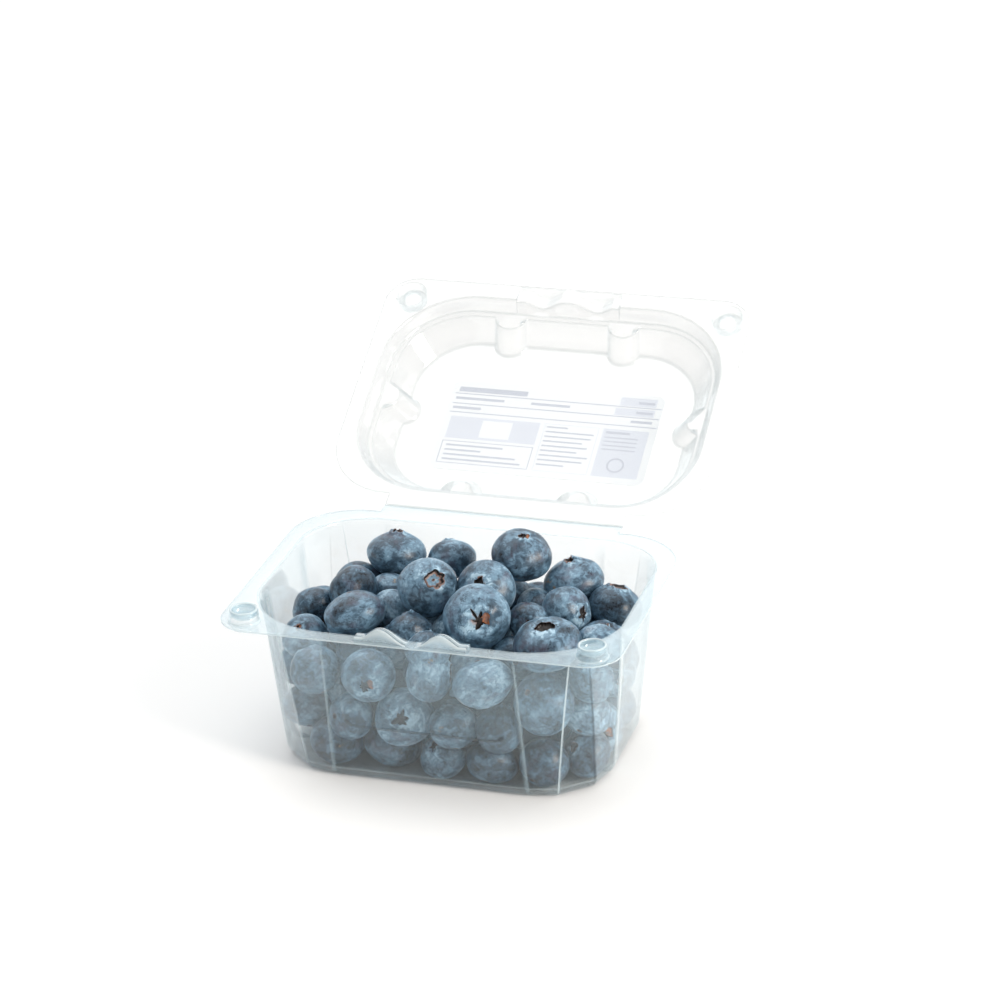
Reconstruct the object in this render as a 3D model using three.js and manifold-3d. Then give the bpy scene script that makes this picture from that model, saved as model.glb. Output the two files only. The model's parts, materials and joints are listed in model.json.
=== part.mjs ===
// A clear thermoformed punnet of blueberries, its lid held half open by the film hinge.
//
// Millimetres, +Z up. The origin is the middle of the tray's underside. X runs along the
// long side, the latch humps are at -Y and the hinge is at +Y. The lid is built shut, in the
// tray's own frame, and then turned back about the hinge.

import * as THREE from 'three';
import { mergeVertices } from 'three/addons/utils/BufferGeometryUtils.js';
import Module from 'manifold-3d';

const wasm = await Module();
wasm.setup();

// ---------------------------------------------------------------- driving dimensions

const SHEET = 0.8;              // wall of the formed sheet, drawn a little thick
const GAP = 0.3;                // air between pieces that touch
const OVERCUT = 6;              // how far a cutting shape runs past what it cuts

// Tray. MOUTH is the inner edge at the rim, FOOT the inner edge just above the base.
const RIM = 52;
const MOUTH = { halfWidth: 55.8, front: -38.7, back: 38.7, frontRadius: 26.3, backRadius: 20 };
const FOOT = { halfWidth: 50.7, front: -31.6, back: 31.6, frontRadius: 20, backRadius: 15.5 };
const FOOT_HEIGHT = 3.2;
const FOOT_TUCK = 2.6;          // how far the foot curves in to the base
const MOUTH_CREASES = [0, 37, 49, 82];   // degrees round a corner, from the long side
const FOOT_CREASES = [0, 24, 60, 90];
const CREASE_FADE = 8;          // below the rim the round corner becomes flat facets

// The embossed panel on the long walls.
const PANEL = { halfWidth: 24.5, bottom: 18.4, top: 44, depth: 0.7, edge: 0.6 };

// Flange, the same outline on tray and lid.
const FLANGE = { halfWidth: 61.1, front: -44, back: 44, frontRadius: 10.3, backRadius: 20 };
const HINGE = { halfWidth: 38.5, y: 48.7, z: RIM + GAP / 2 };

// Press buttons in the front corners, and the two latch humps between them.
const BUTTON = { x: 53, y: -37.2, radius: 4.4, height: 4, tip: 0.93, bevel: 0.5, sides: 14 };
const HUMP = { centre: 9, halfWidth: 8, height: 3.9, back: -38.2 };
const HUMP_STEPS = 7;

// Lid. LID_MOUTH is the dome's inner edge at the flange, LID_TOP its inner top panel.
const LID_BASE = RIM + GAP;
const LID_MOUTH = { halfWidth: 55.9, front: -38, back: 41, frontRadius: 27.4, backRadius: 25.2 };
const LID_STEP = { halfWidth: 52.1, front: -34.2, back: 37.2, frontRadius: 22.3, backRadius: 21.6 };
const LID_TOP = { halfWidth: 45.9, front: -28, back: 31, frontRadius: 19, backRadius: 16.5 };
const STEP = { height: 5.2, rise: 0.8, ledge: 1.4 };
const LID_HEIGHT = 13.1;
const FLUTE = { radius: 5.2, sink: 1.2, x: 19 };
const LID_OPEN = 152;           // degrees between the shut lid and the pose shown

const LABEL = { width: 71, depth: 36.5, x: 1, y: 4, corner: 3, thickness: 0.3 };

// ------------------------------------------------------------------------- berries

// Those that show on top and behind the front wall: x, y, z, width, height along the
// crown's axis, and the way the crown faces.
const SHOWN = [
  [-27, 25, 47.5, 17.7, 13.4, [0, 0.23, 0.97]],
  [-10, 27, 46, 15, 12.5, [-0.3, 0.5, 0.8]],
  [16, 16, 55.3, 17.9, 14.6, [0.17, -0.12, 0.98]],
  [31, 20, 46.6, 18.6, 13.2, [-0.15, -0.02, 0.98]],
  [45.4, 14, 42, 16.7, 13.5, [0.12, 0.26, 0.95]],
  [33, 4, 44, 15.6, 14, [0.9, -0.41, 0.14]],
  [34.6, -21, 45.6, 20, 14.6, [-0.05, -0.2, 0.98]],
  [24.5, -7, 45.4, 11.5, 10.4, [-0.28, 0.86, -0.42]],
  [-7.6, -3, 51.2, 18, 16.4, [0.48, -0.56, 0.68]],
  [9, 2, 49.8, 18.2, 15, [-0.08, -0.87, 0.48]],
  [11.2, -15, 49.1, 19.9, 16.7, [0.39, -0.88, 0.29]],
  [-38, 21, 37.4, 16, 13.6, [-0.3, 0.8, 0.5]],
  [-25, 12, 40, 14, 12, [0.4, 0.6, 0.6]],
  [-27.4, -13, 45.1, 18.6, 12.9, [0.3, -0.2, -0.93]],
  [-45.2, 0, 38.4, 14, 12, [-0.5, 0.6, 0.2]],
  [-43, -15, 36.8, 14.4, 12, [-0.16, -0.58, 0.8]],
  [-9, -17, 42.7, 14, 11.4, [-0.25, 0.6, 0.76]],
  [0.4, -29, 43.9, 13, 11.6, [-0.2, 0.6, 0.77]],
  [47.7, -12, 43, 13.6, 11.4, [0.1, 0.6, 0.8]],
  [11.8, 19, 39, 14, 12, [0.6, 0.6, 0.4]],
  [-20, -1, 41, 14, 12, [0.5, 0.8, 0.2]],
  [-18.4, -28.8, 33.6, 16.4, 14.6, [0.11, -0.99, -0.05]],
  [0.5, -29.4, 36, 16.4, 13.2, [0.95, 0.3, 0]],
  [16.8, -28, 34.6, 18.6, 13.8, [0.3, -0.2, -0.9]],
  [-37, -24.5, 31, 15.6, 14, [-0.5, 0.4, 0.7]],
  [34.6, -25.4, 28.6, 19, 16.8, [0.44, 0.59, -0.68]],
  [-8.8, -26.4, 19.6, 17.8, 15.6, [0.14, -0.91, 0.38]],
  [-25.2, -27.6, 18.6, 14.6, 13, [0.5, 0.7, -0.3]],
  [6.6, -27, 18.6, 14.8, 13.2, [-0.2, 0.5, 0.85]],
  [20.6, -27.2, 19.2, 13.8, 14.4, [0.2, 0.5, 0.85]],
  [-31, -24.5, 8.6, 16.2, 15, [0.2, 0.4, 0.9]],
  [-14.4, -22, 8.2, 17.4, 14.4, [0.1, 0.5, 0.9]],
  [2.4, -25.4, 7.2, 13.6, 12.4, [-0.3, -0.5, 0.81]],
  [17.4, -25.2, 7.2, 16, 12.6, [0.2, 0.6, 0.75]],
  [33.4, -24.4, 8.4, 15, 14, [0.3, 0.8, 0.4]],
  [46.6, -18.6, 34.4, 14.6, 13, [0.5, 0.6, 0.6]],
  [45, -17.2, 22, 14.8, 12.8, [0.2, 0.8, 0.5]],
  [43.8, -15.6, 8.2, 15, 13.6, [-0.4, -0.7, 0.6]],
  [-42.6, -17, 14.6, 15.8, 13.4, [-0.2, 0.6, 0.75]],
];

// The rest lie in rows, each nudged a little, and are then pushed apart.
const FILL = {
  layers: [8, 20.5, 33, 43.5],
  x: { first: -47, last: 47, step: 13.4 },
  y: { first: -26, last: 31, step: 12.6 },
  jitter: 2.4,
  width: { least: 13.4, most: 17.2 },
  squash: { least: 0.78, most: 0.9 },
};
const FILL_TOP = { front: { y: 6, z: 44.5 }, back: { y: 24, z: 35 } };
const CROWDING = 0.76;          // a fill berry closer than this to a shown one is left out
const SETTLE_ROUNDS = 60;
const SQUEEZE = 2;              // a fill berry still pressed deeper than this is left out
const CORE = { inset: 6, bottom: 4, top: 36 };
const SHOWS = { side: 10, top: 4 };   // how near the wall, or how far above the core
const FACET_GROWTH = 1.05;      // a ball of few sides lies inside the round one it stands for
const SEED = 20477;

// ------------------------------------------------------------------------- helpers

const radians = THREE.MathUtils.degToRad;
const lerp = THREE.MathUtils.lerp;
const clamp = THREE.MathUtils.clamp;

/** A closed geometry as a solid that can be joined and cut. */
function solid(geometry) {
  geometry.deleteAttribute('normal');
  geometry.deleteAttribute('uv');
  const merged = mergeVertices(geometry, 1e-4);
  return new wasm.Manifold(new wasm.Mesh({
    numProp: 3,
    vertProperties: new Float32Array(merged.attributes.position.array),
    triVerts: new Uint32Array(merged.index.array),
  }));
}

/** A named mesh made from a solid. */
function part(name, body, material) {
  const { vertProperties, triVerts } = body.getMesh();
  const geometry = new THREE.BufferGeometry();
  geometry.setAttribute('position', new THREE.BufferAttribute(vertProperties, 3));
  geometry.setIndex(new THREE.BufferAttribute(triVerts, 1));
  geometry.computeVertexNormals();
  const mesh = new THREE.Mesh(geometry, material);
  mesh.name = name;
  return mesh;
}

/** The same outline moved outward by a distance. */
function grown(edge, distance) {
  return {
    halfWidth: edge.halfWidth + distance,
    front: edge.front - distance,
    back: edge.back + distance,
    frontRadius: edge.frontRadius + distance,
    backRadius: edge.backRadius + distance,
  };
}

/** An outline part of the way from one to another. */
function between(a, b, t) {
  const mixed = {};
  for (const key of Object.keys(a)) mixed[key] = lerp(a[key], b[key], t);
  return mixed;
}

/**
 * Points round one corner, from the long side to the short side. The creases are angles
 * from the long side, with steps between them; round is 1 for an arc and 0 for flat facets.
 */
function corner(edge, side, creases, steps, round) {
  const front = side.y < 0;
  const radius = front ? edge.frontRadius : edge.backRadius;
  const centre = new THREE.Vector2(
    side.x * (edge.halfWidth - radius),
    front ? edge.front + radius : edge.back - radius,
  );
  const at = (angle) => new THREE.Vector2(
    centre.x + side.x * radius * Math.sin(radians(angle)),
    centre.y + side.y * radius * Math.cos(radians(angle)),
  );
  const points = [at(creases[0])];
  for (let k = 1; k < creases.length; k++) {
    const from = creases[k - 1];
    const to = creases[k];
    for (let i = 1; i <= steps[k - 1]; i++) {
      const t = i / steps[k - 1];
      const flat = at(from).lerp(at(to), t);
      points.push(flat.lerp(at(lerp(from, to, t)), round));
    }
  }
  return points;
}

/** A whole outline, anticlockwise from the front left, with extra points on the long sides. */
function outline(edge, creases, steps, round, onFront = [], onBack = []) {
  const turn = (x, y) => corner(edge, { x, y }, creases, steps, round);
  return [
    ...onFront,
    ...turn(1, -1),
    ...turn(1, 1).reverse(),
    ...onBack,
    ...turn(-1, 1),
    ...turn(-1, -1).reverse(),
  ];
}

/** A closed solid through a stack of rings that have the same number of points. */
function loft(rings) {
  const count = rings[0].points.length;
  const vertices = [];
  const faces = [];
  for (const ring of rings) {
    for (const p of ring.points) vertices.push(p.x, p.y, ring.z);
  }
  for (let r = 0; r + 1 < rings.length; r++) {
    for (let i = 0; i < count; i++) {
      const a = r * count + i;
      const b = r * count + (i + 1) % count;
      faces.push(a, b, b + count, a, b + count, a + count);
    }
  }
  const cap = (ring, first, facesUp) => {
    const middle = vertices.length / 3;
    vertices.push(0, 0, ring.z);
    for (let i = 0; i < count; i++) {
      const a = first + i;
      const b = first + (i + 1) % count;
      faces.push(middle, ...(facesUp ? [a, b] : [b, a]));
    }
  };
  cap(rings[0], 0, false);
  cap(rings[rings.length - 1], (rings.length - 1) * count, true);
  const geometry = new THREE.BufferGeometry();
  geometry.setAttribute('position', new THREE.Float32BufferAttribute(vertices, 3));
  geometry.setIndex(faces);
  return solid(geometry);
}

/** A flat slab of an outline between two heights. */
function slab(points, bottom, top) {
  const geometry = new THREE.ExtrudeGeometry(new THREE.Shape(points), {
    depth: top - bottom, bevelEnabled: false, steps: 1,
  });
  geometry.translate(0, 0, bottom);
  return solid(geometry);
}

/** A bar along Y whose section is drawn in X and Z. */
function bar(section, front, back) {
  const geometry = new THREE.ExtrudeGeometry(new THREE.Shape(section), {
    depth: back - front, bevelEnabled: false, steps: 1,
  });
  geometry.rotateX(Math.PI / 2);
  geometry.translate(0, back, 0);
  return solid(geometry);
}

/** A round button standing at z = base. */
function button(x, base, radius, top) {
  const tip = radius * BUTTON.tip;
  const profile = [
    new THREE.Vector2(0, base),
    new THREE.Vector2(radius, base),
    new THREE.Vector2(tip, top - BUTTON.bevel),
    new THREE.Vector2(tip - BUTTON.bevel, top),
    new THREE.Vector2(0, top),
  ];
  const geometry = new THREE.LatheGeometry(profile, BUTTON.sides);
  geometry.rotateX(Math.PI / 2);
  geometry.translate(x, BUTTON.y, 0);
  return solid(geometry);
}

/** The outer edge of either flange, with its half of the hinge strip. */
function flangeOutline() {
  const inner = HINGE.y - GAP / 2;
  const strip = [
    new THREE.Vector2(HINGE.halfWidth, FLANGE.back),
    new THREE.Vector2(HINGE.halfWidth, inner),
    new THREE.Vector2(-HINGE.halfWidth, inner),
    new THREE.Vector2(-HINGE.halfWidth, FLANGE.back),
  ];
  return outline(FLANGE, [0, 90], [6], 1, [], strip);
}

/** The section under one latch hump, from a floor up to the hump's curve. */
function humpSection(centre, halfWidth, lift, floor) {
  const points = [];
  for (let i = 0; i <= HUMP_STEPS; i++) {
    const u = lerp(halfWidth, -halfWidth, i / HUMP_STEPS);
    const rise = HUMP.height * Math.cos((Math.PI * u) / (2 * halfWidth)) ** 2;
    points.push(new THREE.Vector2(centre + u, lift + rise));
  }
  points.push(new THREE.Vector2(centre - halfWidth, floor));
  points.push(new THREE.Vector2(centre + halfWidth, floor));
  return points;
}

const bothHumps = [-HUMP.centre, HUMP.centre];
const bothButtons = [-BUTTON.x, BUTTON.x];

// ---------------------------------------------------------------------------- tray

const WALL_STEPS = [2, 1, 2];

/** One level of the tray's wall, grown outward by a distance from its inner face. */
function wallRing(height, distance) {
  const t = clamp((height - FOOT_HEIGHT) / (RIM - FOOT_HEIGHT), 0, 1);
  const edge = grown(between(FOOT, MOUTH, t), distance);
  const creases = MOUTH_CREASES.map((angle, k) => lerp(FOOT_CREASES[k], angle, t));
  const round = clamp(1 - (RIM - height) / CREASE_FADE, 0, 1);
  const swell = height > PANEL.bottom
    ? PANEL.depth * clamp((PANEL.top - height) / (PANEL.top - PANEL.bottom), 0, 1)
    : 0;
  const along = (y, way) => {
    const outer = PANEL.halfWidth + PANEL.edge;
    const inner = PANEL.halfWidth - PANEL.edge;
    const bulged = y + Math.sign(y) * swell;
    return [
      new THREE.Vector2(-way * outer, y),
      new THREE.Vector2(-way * inner, bulged),
      new THREE.Vector2(way * inner, bulged),
      new THREE.Vector2(way * outer, y),
    ];
  };
  return outline(edge, creases, WALL_STEPS, round, along(edge.front, 1), along(edge.back, -1));
}

/** The wall and base as one filled shape, its faces moved outward by a distance. */
function trayForm(distance, floor, top) {
  const foot = floor + FOOT_HEIGHT * 0.3;
  const levels = [
    { z: floor, height: FOOT_HEIGHT, out: distance - FOOT_TUCK },
    { z: foot, height: FOOT_HEIGHT, out: distance - FOOT_TUCK * 0.35 },
  ];
  const heights = [FOOT_HEIGHT, PANEL.bottom, PANEL.bottom + PANEL.edge, PANEL.top,
    RIM - CREASE_FADE / 3, top];
  for (const height of heights) levels.push({ z: height, height, out: distance });
  return loft(levels.map(({ z, height, out }) => ({ z, points: wallRing(height, out) })));
}

function makeTray() {
  let body = slab(flangeOutline(), RIM - SHEET, RIM);
  body = body.add(trayForm(SHEET, 0, RIM - SHEET / 2));
  for (const centre of bothHumps) {
    const section = humpSection(centre, HUMP.halfWidth, RIM, RIM - SHEET / 2);
    body = body.add(bar(section, FLANGE.front, HUMP.back));
  }
  for (const x of bothButtons) {
    body = body.add(button(x, RIM - SHEET / 2, BUTTON.radius, RIM + BUTTON.height));
  }
  body = body.subtract(trayForm(0, SHEET, RIM + OVERCUT));
  for (const x of bothButtons) {
    const hollow = button(x, RIM - OVERCUT, BUTTON.radius - SHEET, RIM + BUTTON.height - SHEET);
    body = body.subtract(hollow);
  }
  for (const centre of bothHumps) {
    const section = humpSection(centre, HUMP.halfWidth - SHEET, RIM - SHEET, RIM - OVERCUT);
    body = body.subtract(bar(section, FLANGE.front - OVERCUT, MOUTH.front - SHEET));
  }
  return body;
}

// ----------------------------------------------------------------------------- lid

/** The lid's dome as one filled shape, its faces moved outward by a distance. */
function domeForm(distance, floor) {
  const ring = (z, edge) => ({ z, points: outline(edge, [0, 90], [6], 1) });
  const top = LID_BASE + LID_HEIGHT + distance;
  const step = LID_BASE + STEP.height + distance * 0.6;
  return loft([
    ring(floor, grown(LID_MOUTH, distance)),
    ring(LID_BASE, grown(LID_MOUTH, distance)),
    ring(step - STEP.rise, grown(LID_STEP, STEP.ledge + distance * 0.8)),
    ring(step, grown(LID_STEP, distance * 0.8)),
    ring(top - STEP.rise, grown(LID_TOP, 1 + distance * 0.5)),
    ring(top, LID_TOP),
  ]);
}

/** The half-round flutes that press into the dome's walls between the ledge and the top. */
function flutes(distance) {
  const radius = FLUTE.radius + distance;
  const makeOne = (x, y, facing) => {
    const side = facing.x ? 'halfWidth' : facing.y < 0 ? 'front' : 'back';
    const run = Math.abs(LID_STEP[side] - LID_TOP[side]);
    const rise = LID_HEIGHT - STEP.height;
    const lean = Math.atan2(run, rise);
    const length = Math.hypot(run, rise) + OVERCUT;
    const geometry = new THREE.CylinderGeometry(radius, radius, length + distance, 14);
    geometry.rotateX(Math.PI / 2);
    geometry.translate(0, 0, (length - distance) / 2);
    const matrix = new THREE.Matrix4().makeTranslation(
      x + facing.x * FLUTE.sink, y + facing.y * FLUTE.sink, LID_BASE + STEP.height);
    const inward = new THREE.Vector3(-facing.x * Math.sin(lean), -facing.y * Math.sin(lean),
      Math.cos(lean));
    const turn = new THREE.Quaternion().setFromUnitVectors(new THREE.Vector3(0, 0, 1), inward);
    matrix.multiply(new THREE.Matrix4().makeRotationFromQuaternion(turn));
    geometry.applyMatrix4(matrix);
    return solid(geometry);
  };
  const middle = (LID_STEP.front + LID_STEP.back) / 2;
  return [
    makeOne(-FLUTE.x, LID_STEP.front, { x: 0, y: -1 }),
    makeOne(FLUTE.x, LID_STEP.front, { x: 0, y: -1 }),
    makeOne(-FLUTE.x, LID_STEP.back, { x: 0, y: 1 }),
    makeOne(FLUTE.x, LID_STEP.back, { x: 0, y: 1 }),
    makeOne(-LID_STEP.halfWidth, middle, { x: -1, y: 0 }),
    makeOne(LID_STEP.halfWidth, middle, { x: 1, y: 0 }),
  ];
}

function makeLid() {
  let hollow = domeForm(0, LID_BASE - OVERCUT);
  for (const flute of flutes(SHEET)) hollow = hollow.subtract(flute);
  let body = domeForm(SHEET, LID_BASE + SHEET / 2);
  for (const flute of flutes(0)) body = body.subtract(flute);
  body = body.add(slab(flangeOutline(), LID_BASE, LID_BASE + SHEET));
  for (const centre of bothHumps) {
    const section = humpSection(centre, HUMP.halfWidth, LID_BASE + SHEET, LID_BASE + SHEET / 2);
    body = body.add(bar(section, FLANGE.front, LID_STEP.front));
  }
  const cap = BUTTON.radius + GAP + SHEET;
  const clear = RIM + BUTTON.height + GAP;
  for (const x of bothButtons) {
    body = body.add(button(x, LID_BASE + SHEET / 2, cap, clear + SHEET));
  }
  body = body.subtract(hollow);
  for (const x of bothButtons) {
    body = body.subtract(button(x, LID_BASE - OVERCUT, cap - SHEET, clear));
  }
  for (const centre of bothHumps) {
    const section = humpSection(centre, HUMP.halfWidth, LID_BASE, LID_BASE - OVERCUT);
    body = body.subtract(bar(section, FLANGE.front - OVERCUT, LID_STEP.front));
  }
  return body;
}

function makeLabel() {
  const edge = {
    halfWidth: LABEL.width / 2,
    front: -LABEL.depth / 2,
    back: LABEL.depth / 2,
    frontRadius: LABEL.corner,
    backRadius: LABEL.corner,
  };
  const bottom = LID_BASE + LID_HEIGHT + SHEET + GAP;
  return slab(outline(edge, [0, 90], [3], 1), bottom, bottom + LABEL.thickness)
    .translate([LABEL.x, LABEL.y, 0]);
}

// ------------------------------------------------------------------------- berries

/** A small repeatable random generator, from 0 to 1. */
function makeRandom(seed) {
  let state = seed;
  return () => {
    state = (state * 16807) % 2147483647;
    return state / 2147483647;
  };
}

/** How far a point lies inside the tray's inner faces, and the way back in. */
function depthInside(x, y, z) {
  const t = clamp((z - FOOT_HEIGHT) / (RIM - FOOT_HEIGHT), 0, 1.2);
  const edge = between(FOOT, MOUTH, t);
  const sx = Math.sign(x) || 1;
  const sy = Math.sign(y) || 1;
  const radius = sy < 0 ? edge.frontRadius : edge.backRadius;
  const halfDepth = edge.back;
  const cx = Math.abs(x) - (edge.halfWidth - radius);
  const cy = Math.abs(y) - (halfDepth - radius);
  if (cx > 0 && cy > 0) {
    const far = Math.hypot(cx, cy);
    return { depth: radius * 0.97 - far, x: (-sx * cx) / far, y: (-sy * cy) / far };
  }
  const toSide = edge.halfWidth - Math.abs(x);
  const toEnd = halfDepth - Math.abs(y);
  return toSide < toEnd ? { depth: toSide, x: -sx, y: 0 } : { depth: toEnd, x: 0, y: -sy };
}

/** The highest that the middle of a fill berry may lie: the heap falls off to the back. */
function fillTop(y) {
  const { front, back } = FILL_TOP;
  return lerp(front.z, back.z, clamp((y - front.y) / (back.y - front.y), 0, 1));
}

/** Rows of berries to fill what the shown ones leave free. */
function fillBerries(shown) {
  const random = makeRandom(SEED);
  const fill = [];
  FILL.layers.forEach((z, layer) => {
    const shift = (layer % 2) * 0.5;
    for (let y = FILL.y.first + shift * FILL.y.step; y <= FILL.y.last; y += FILL.y.step) {
      for (let x = FILL.x.first + shift * FILL.x.step; x <= FILL.x.last; x += FILL.x.step) {
        const draw = Array.from({ length: 8 }, random);
        const berry = {
          x: x + (draw[0] - 0.5) * FILL.jitter,
          y: y + (draw[1] - 0.5) * FILL.jitter,
          z: z + (draw[2] - 0.5) * FILL.jitter,
          width: lerp(FILL.width.least, FILL.width.most, draw[3]),
          crown: new THREE.Vector3(draw[5] - 0.5, draw[6] - 0.5, draw[7] - 0.4),
          fixed: false,
        };
        berry.height = berry.width * lerp(FILL.squash.least, FILL.squash.most, draw[4]);
        const tooNear = (other) => distance(berry, other) < CROWDING * reach(berry, other);
        const tooHigh = berry.z > fillTop(berry.y) + berry.height / 3;
        if (!tooHigh && !shown.some(tooNear)) fill.push(berry);
      }
    }
  });
  return fill;
}

function distance(a, b) {
  return Math.hypot(a.x - b.x, a.y - b.y, a.z - b.z);
}

/** How far apart the middles of two touching berries are. */
function reach(a, b) {
  return (a.width + a.height + b.width + b.height) / 4;
}

/** Pushes overlapping berries apart, and back inside the walls, and returns those that fit. */
function settle(berries) {
  for (let round = 0; round < SETTLE_ROUNDS; round++) {
    for (let i = 0; i < berries.length; i++) {
      for (let j = i + 1; j < berries.length; j++) pushApart(berries[i], berries[j]);
    }
    for (const berry of berries) keepInside(berry);
  }
  const kept = [];
  for (const berry of berries) {
    const squeezed = kept.some((other) => reach(berry, other) - distance(berry, other) > SQUEEZE);
    if (berry.fixed || !squeezed) kept.push(berry);
  }
  return kept;
}

function pushApart(a, b) {
  if (a.fixed && b.fixed) return;
  const far = distance(a, b);
  const push = reach(a, b) - far;
  if (push <= 0) return;
  const share = a.fixed || b.fixed ? 1 : 0.5;
  const k = (push * share) / far;
  const [dx, dy, dz] = [(a.x - b.x) * k, (a.y - b.y) * k, (a.z - b.z) * k];
  if (!a.fixed) Object.assign(a, { x: a.x + dx, y: a.y + dy, z: a.z + dz });
  if (!b.fixed) Object.assign(b, { x: b.x - dx, y: b.y - dy, z: b.z - dz });
}

function keepInside(berry) {
  if (berry.fixed) return;
  const need = (berry.width + berry.height) / 4 + GAP;
  const wall = depthInside(berry.x, berry.y, berry.z);
  if (wall.depth < need) {
    berry.x += wall.x * (need - wall.depth);
    berry.y += wall.y * (need - wall.depth);
  }
  berry.z = clamp(berry.z, SHEET + need, fillTop(berry.y));
}

/** One berry: a squashed ball with few sides, turned so that its crown faces the right way. */
function berrySolid(berry) {
  const geometry = new THREE.IcosahedronGeometry(FACET_GROWTH * berry.width / 2, 1);
  geometry.scale(1, 1, berry.height / berry.width);
  const turn = new THREE.Quaternion().setFromUnitVectors(
    new THREE.Vector3(0, 0, 1), berry.crown.clone().normalize());
  geometry.applyQuaternion(turn);
  geometry.translate(berry.x, berry.y, berry.z);
  return solid(geometry);
}

/** The solid middle of the heap, which the berries that show are fused to. */
function coreSolid() {
  const ring = (z) => ({ z, points: wallRing(z, -CORE.inset) });
  return loft([ring(CORE.bottom), ring((CORE.bottom + CORE.top) / 2), ring(CORE.top)]);
}

function makeBerries() {
  const shown = SHOWN.map(([x, y, z, width, height, crown]) => ({
    x, y, z, width, height, crown: new THREE.Vector3(...crown), fixed: true,
  }));
  const all = settle([...shown, ...fillBerries(shown)]);
  const showing = all.filter((b) => b.fixed || b.z + b.height / 2 > CORE.top + SHOWS.top
    || depthInside(b.x, b.y, b.z).depth < SHOWS.side);
  let heap = coreSolid();
  for (const berry of showing) heap = heap.add(berrySolid(berry));
  // Nothing reaches through the tray: the heap is trimmed a gap inside its walls.
  return heap.intersect(trayForm(-GAP, SHEET + GAP, RIM + LID_HEIGHT));
}

// ------------------------------------------------------------------------ assembly

const clearSheet = new THREE.MeshStandardMaterial({
  color: 0xdcebee, roughness: 0.06, metalness: 0, transparent: true, opacity: 0.28,
});
const paper = new THREE.MeshStandardMaterial({ color: 0xf3f3f7, roughness: 0.55, metalness: 0 });
const skin = new THREE.MeshStandardMaterial({ color: 0x3c4f68, roughness: 0.5, metalness: 0 });

const group = new THREE.Group();
group.add(part('tray', makeTray(), clearSheet));
group.add(part('berries', makeBerries(), skin));

const hinge = new THREE.Group();
hinge.position.set(0, HINGE.y, HINGE.z);
hinge.rotation.x = -radians(LID_OPEN);
const shut = new THREE.Group();
shut.position.set(0, -HINGE.y, -HINGE.z);
shut.add(part('lid', makeLid(), clearSheet));
shut.add(part('label', makeLabel(), paper));
hinge.add(shut);
group.add(hinge);

export default group;
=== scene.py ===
"""Looks of a clear hinged punnet heaped with blueberries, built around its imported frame."""

import json
import math
from collections import namedtuple
from itertools import combinations, product

import bmesh
import bpy
import numpy as np
from bpy.props import FloatProperty, FloatVectorProperty, IntProperty, PointerProperty
from mathutils import Matrix, Vector

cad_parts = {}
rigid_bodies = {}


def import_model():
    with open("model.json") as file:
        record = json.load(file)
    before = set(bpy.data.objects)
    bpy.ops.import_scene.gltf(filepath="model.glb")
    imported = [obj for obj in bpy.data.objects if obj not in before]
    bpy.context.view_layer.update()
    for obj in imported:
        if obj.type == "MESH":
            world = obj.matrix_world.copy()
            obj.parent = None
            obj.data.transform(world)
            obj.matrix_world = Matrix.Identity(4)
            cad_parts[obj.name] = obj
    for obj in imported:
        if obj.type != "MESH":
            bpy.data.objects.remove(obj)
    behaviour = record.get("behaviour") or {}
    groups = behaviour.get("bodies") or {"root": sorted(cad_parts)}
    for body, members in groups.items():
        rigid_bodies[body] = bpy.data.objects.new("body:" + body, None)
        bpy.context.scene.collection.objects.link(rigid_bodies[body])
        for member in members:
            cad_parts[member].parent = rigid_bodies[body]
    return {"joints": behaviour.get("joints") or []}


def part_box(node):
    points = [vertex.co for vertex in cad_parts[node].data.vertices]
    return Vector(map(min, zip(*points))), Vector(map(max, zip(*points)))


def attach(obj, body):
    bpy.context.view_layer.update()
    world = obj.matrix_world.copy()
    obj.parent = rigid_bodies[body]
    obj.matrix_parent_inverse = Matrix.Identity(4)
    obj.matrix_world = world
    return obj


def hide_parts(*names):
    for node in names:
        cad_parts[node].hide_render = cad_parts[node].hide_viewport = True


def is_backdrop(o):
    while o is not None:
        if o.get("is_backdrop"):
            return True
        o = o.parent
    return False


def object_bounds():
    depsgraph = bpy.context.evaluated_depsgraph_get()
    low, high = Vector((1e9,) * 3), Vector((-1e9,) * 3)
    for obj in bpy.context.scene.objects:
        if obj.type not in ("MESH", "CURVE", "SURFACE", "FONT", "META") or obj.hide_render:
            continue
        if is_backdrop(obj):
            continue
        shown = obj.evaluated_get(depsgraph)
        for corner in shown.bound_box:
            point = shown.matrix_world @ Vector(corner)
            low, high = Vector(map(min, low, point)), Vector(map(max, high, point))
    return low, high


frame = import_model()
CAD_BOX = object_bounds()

bl_info = {
    "name": "Berry Punnet",
    "version": (1, 0, 0),
    "blender": (4, 5, 0),
    "location": "View3D > Sidebar > Punnet",
    "description": "Builds a clear hinged punnet heaped with blueberries, piece by piece",
    "category": "Add Mesh",
}

# ---------------- places from the frame

MM = 0.001
LID_HINGE = frame["joints"][0]
HINGE_Y, HINGE_Z = (value / MM for value in LID_HINGE["pos_m"][1:])
LID_OPEN = math.radians(LID_HINGE["range_deg"][1])
GAP = 0.3  # air between pieces that touch
RIM = round(HINGE_Z - GAP / 2, 2)  # top of the tray's flange
LID_BASE = RIM + GAP  # underside of the shut lid's flange
TRAY_LOW, TRAY_HIGH = (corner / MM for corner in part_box("tray"))
STRIP_END = TRAY_HIGH.y  # where the tray's hinge strip ends

# ---------------- driving sizes, in mm

Edge = namedtuple("Edge", "half front back front_radius back_radius")

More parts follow.
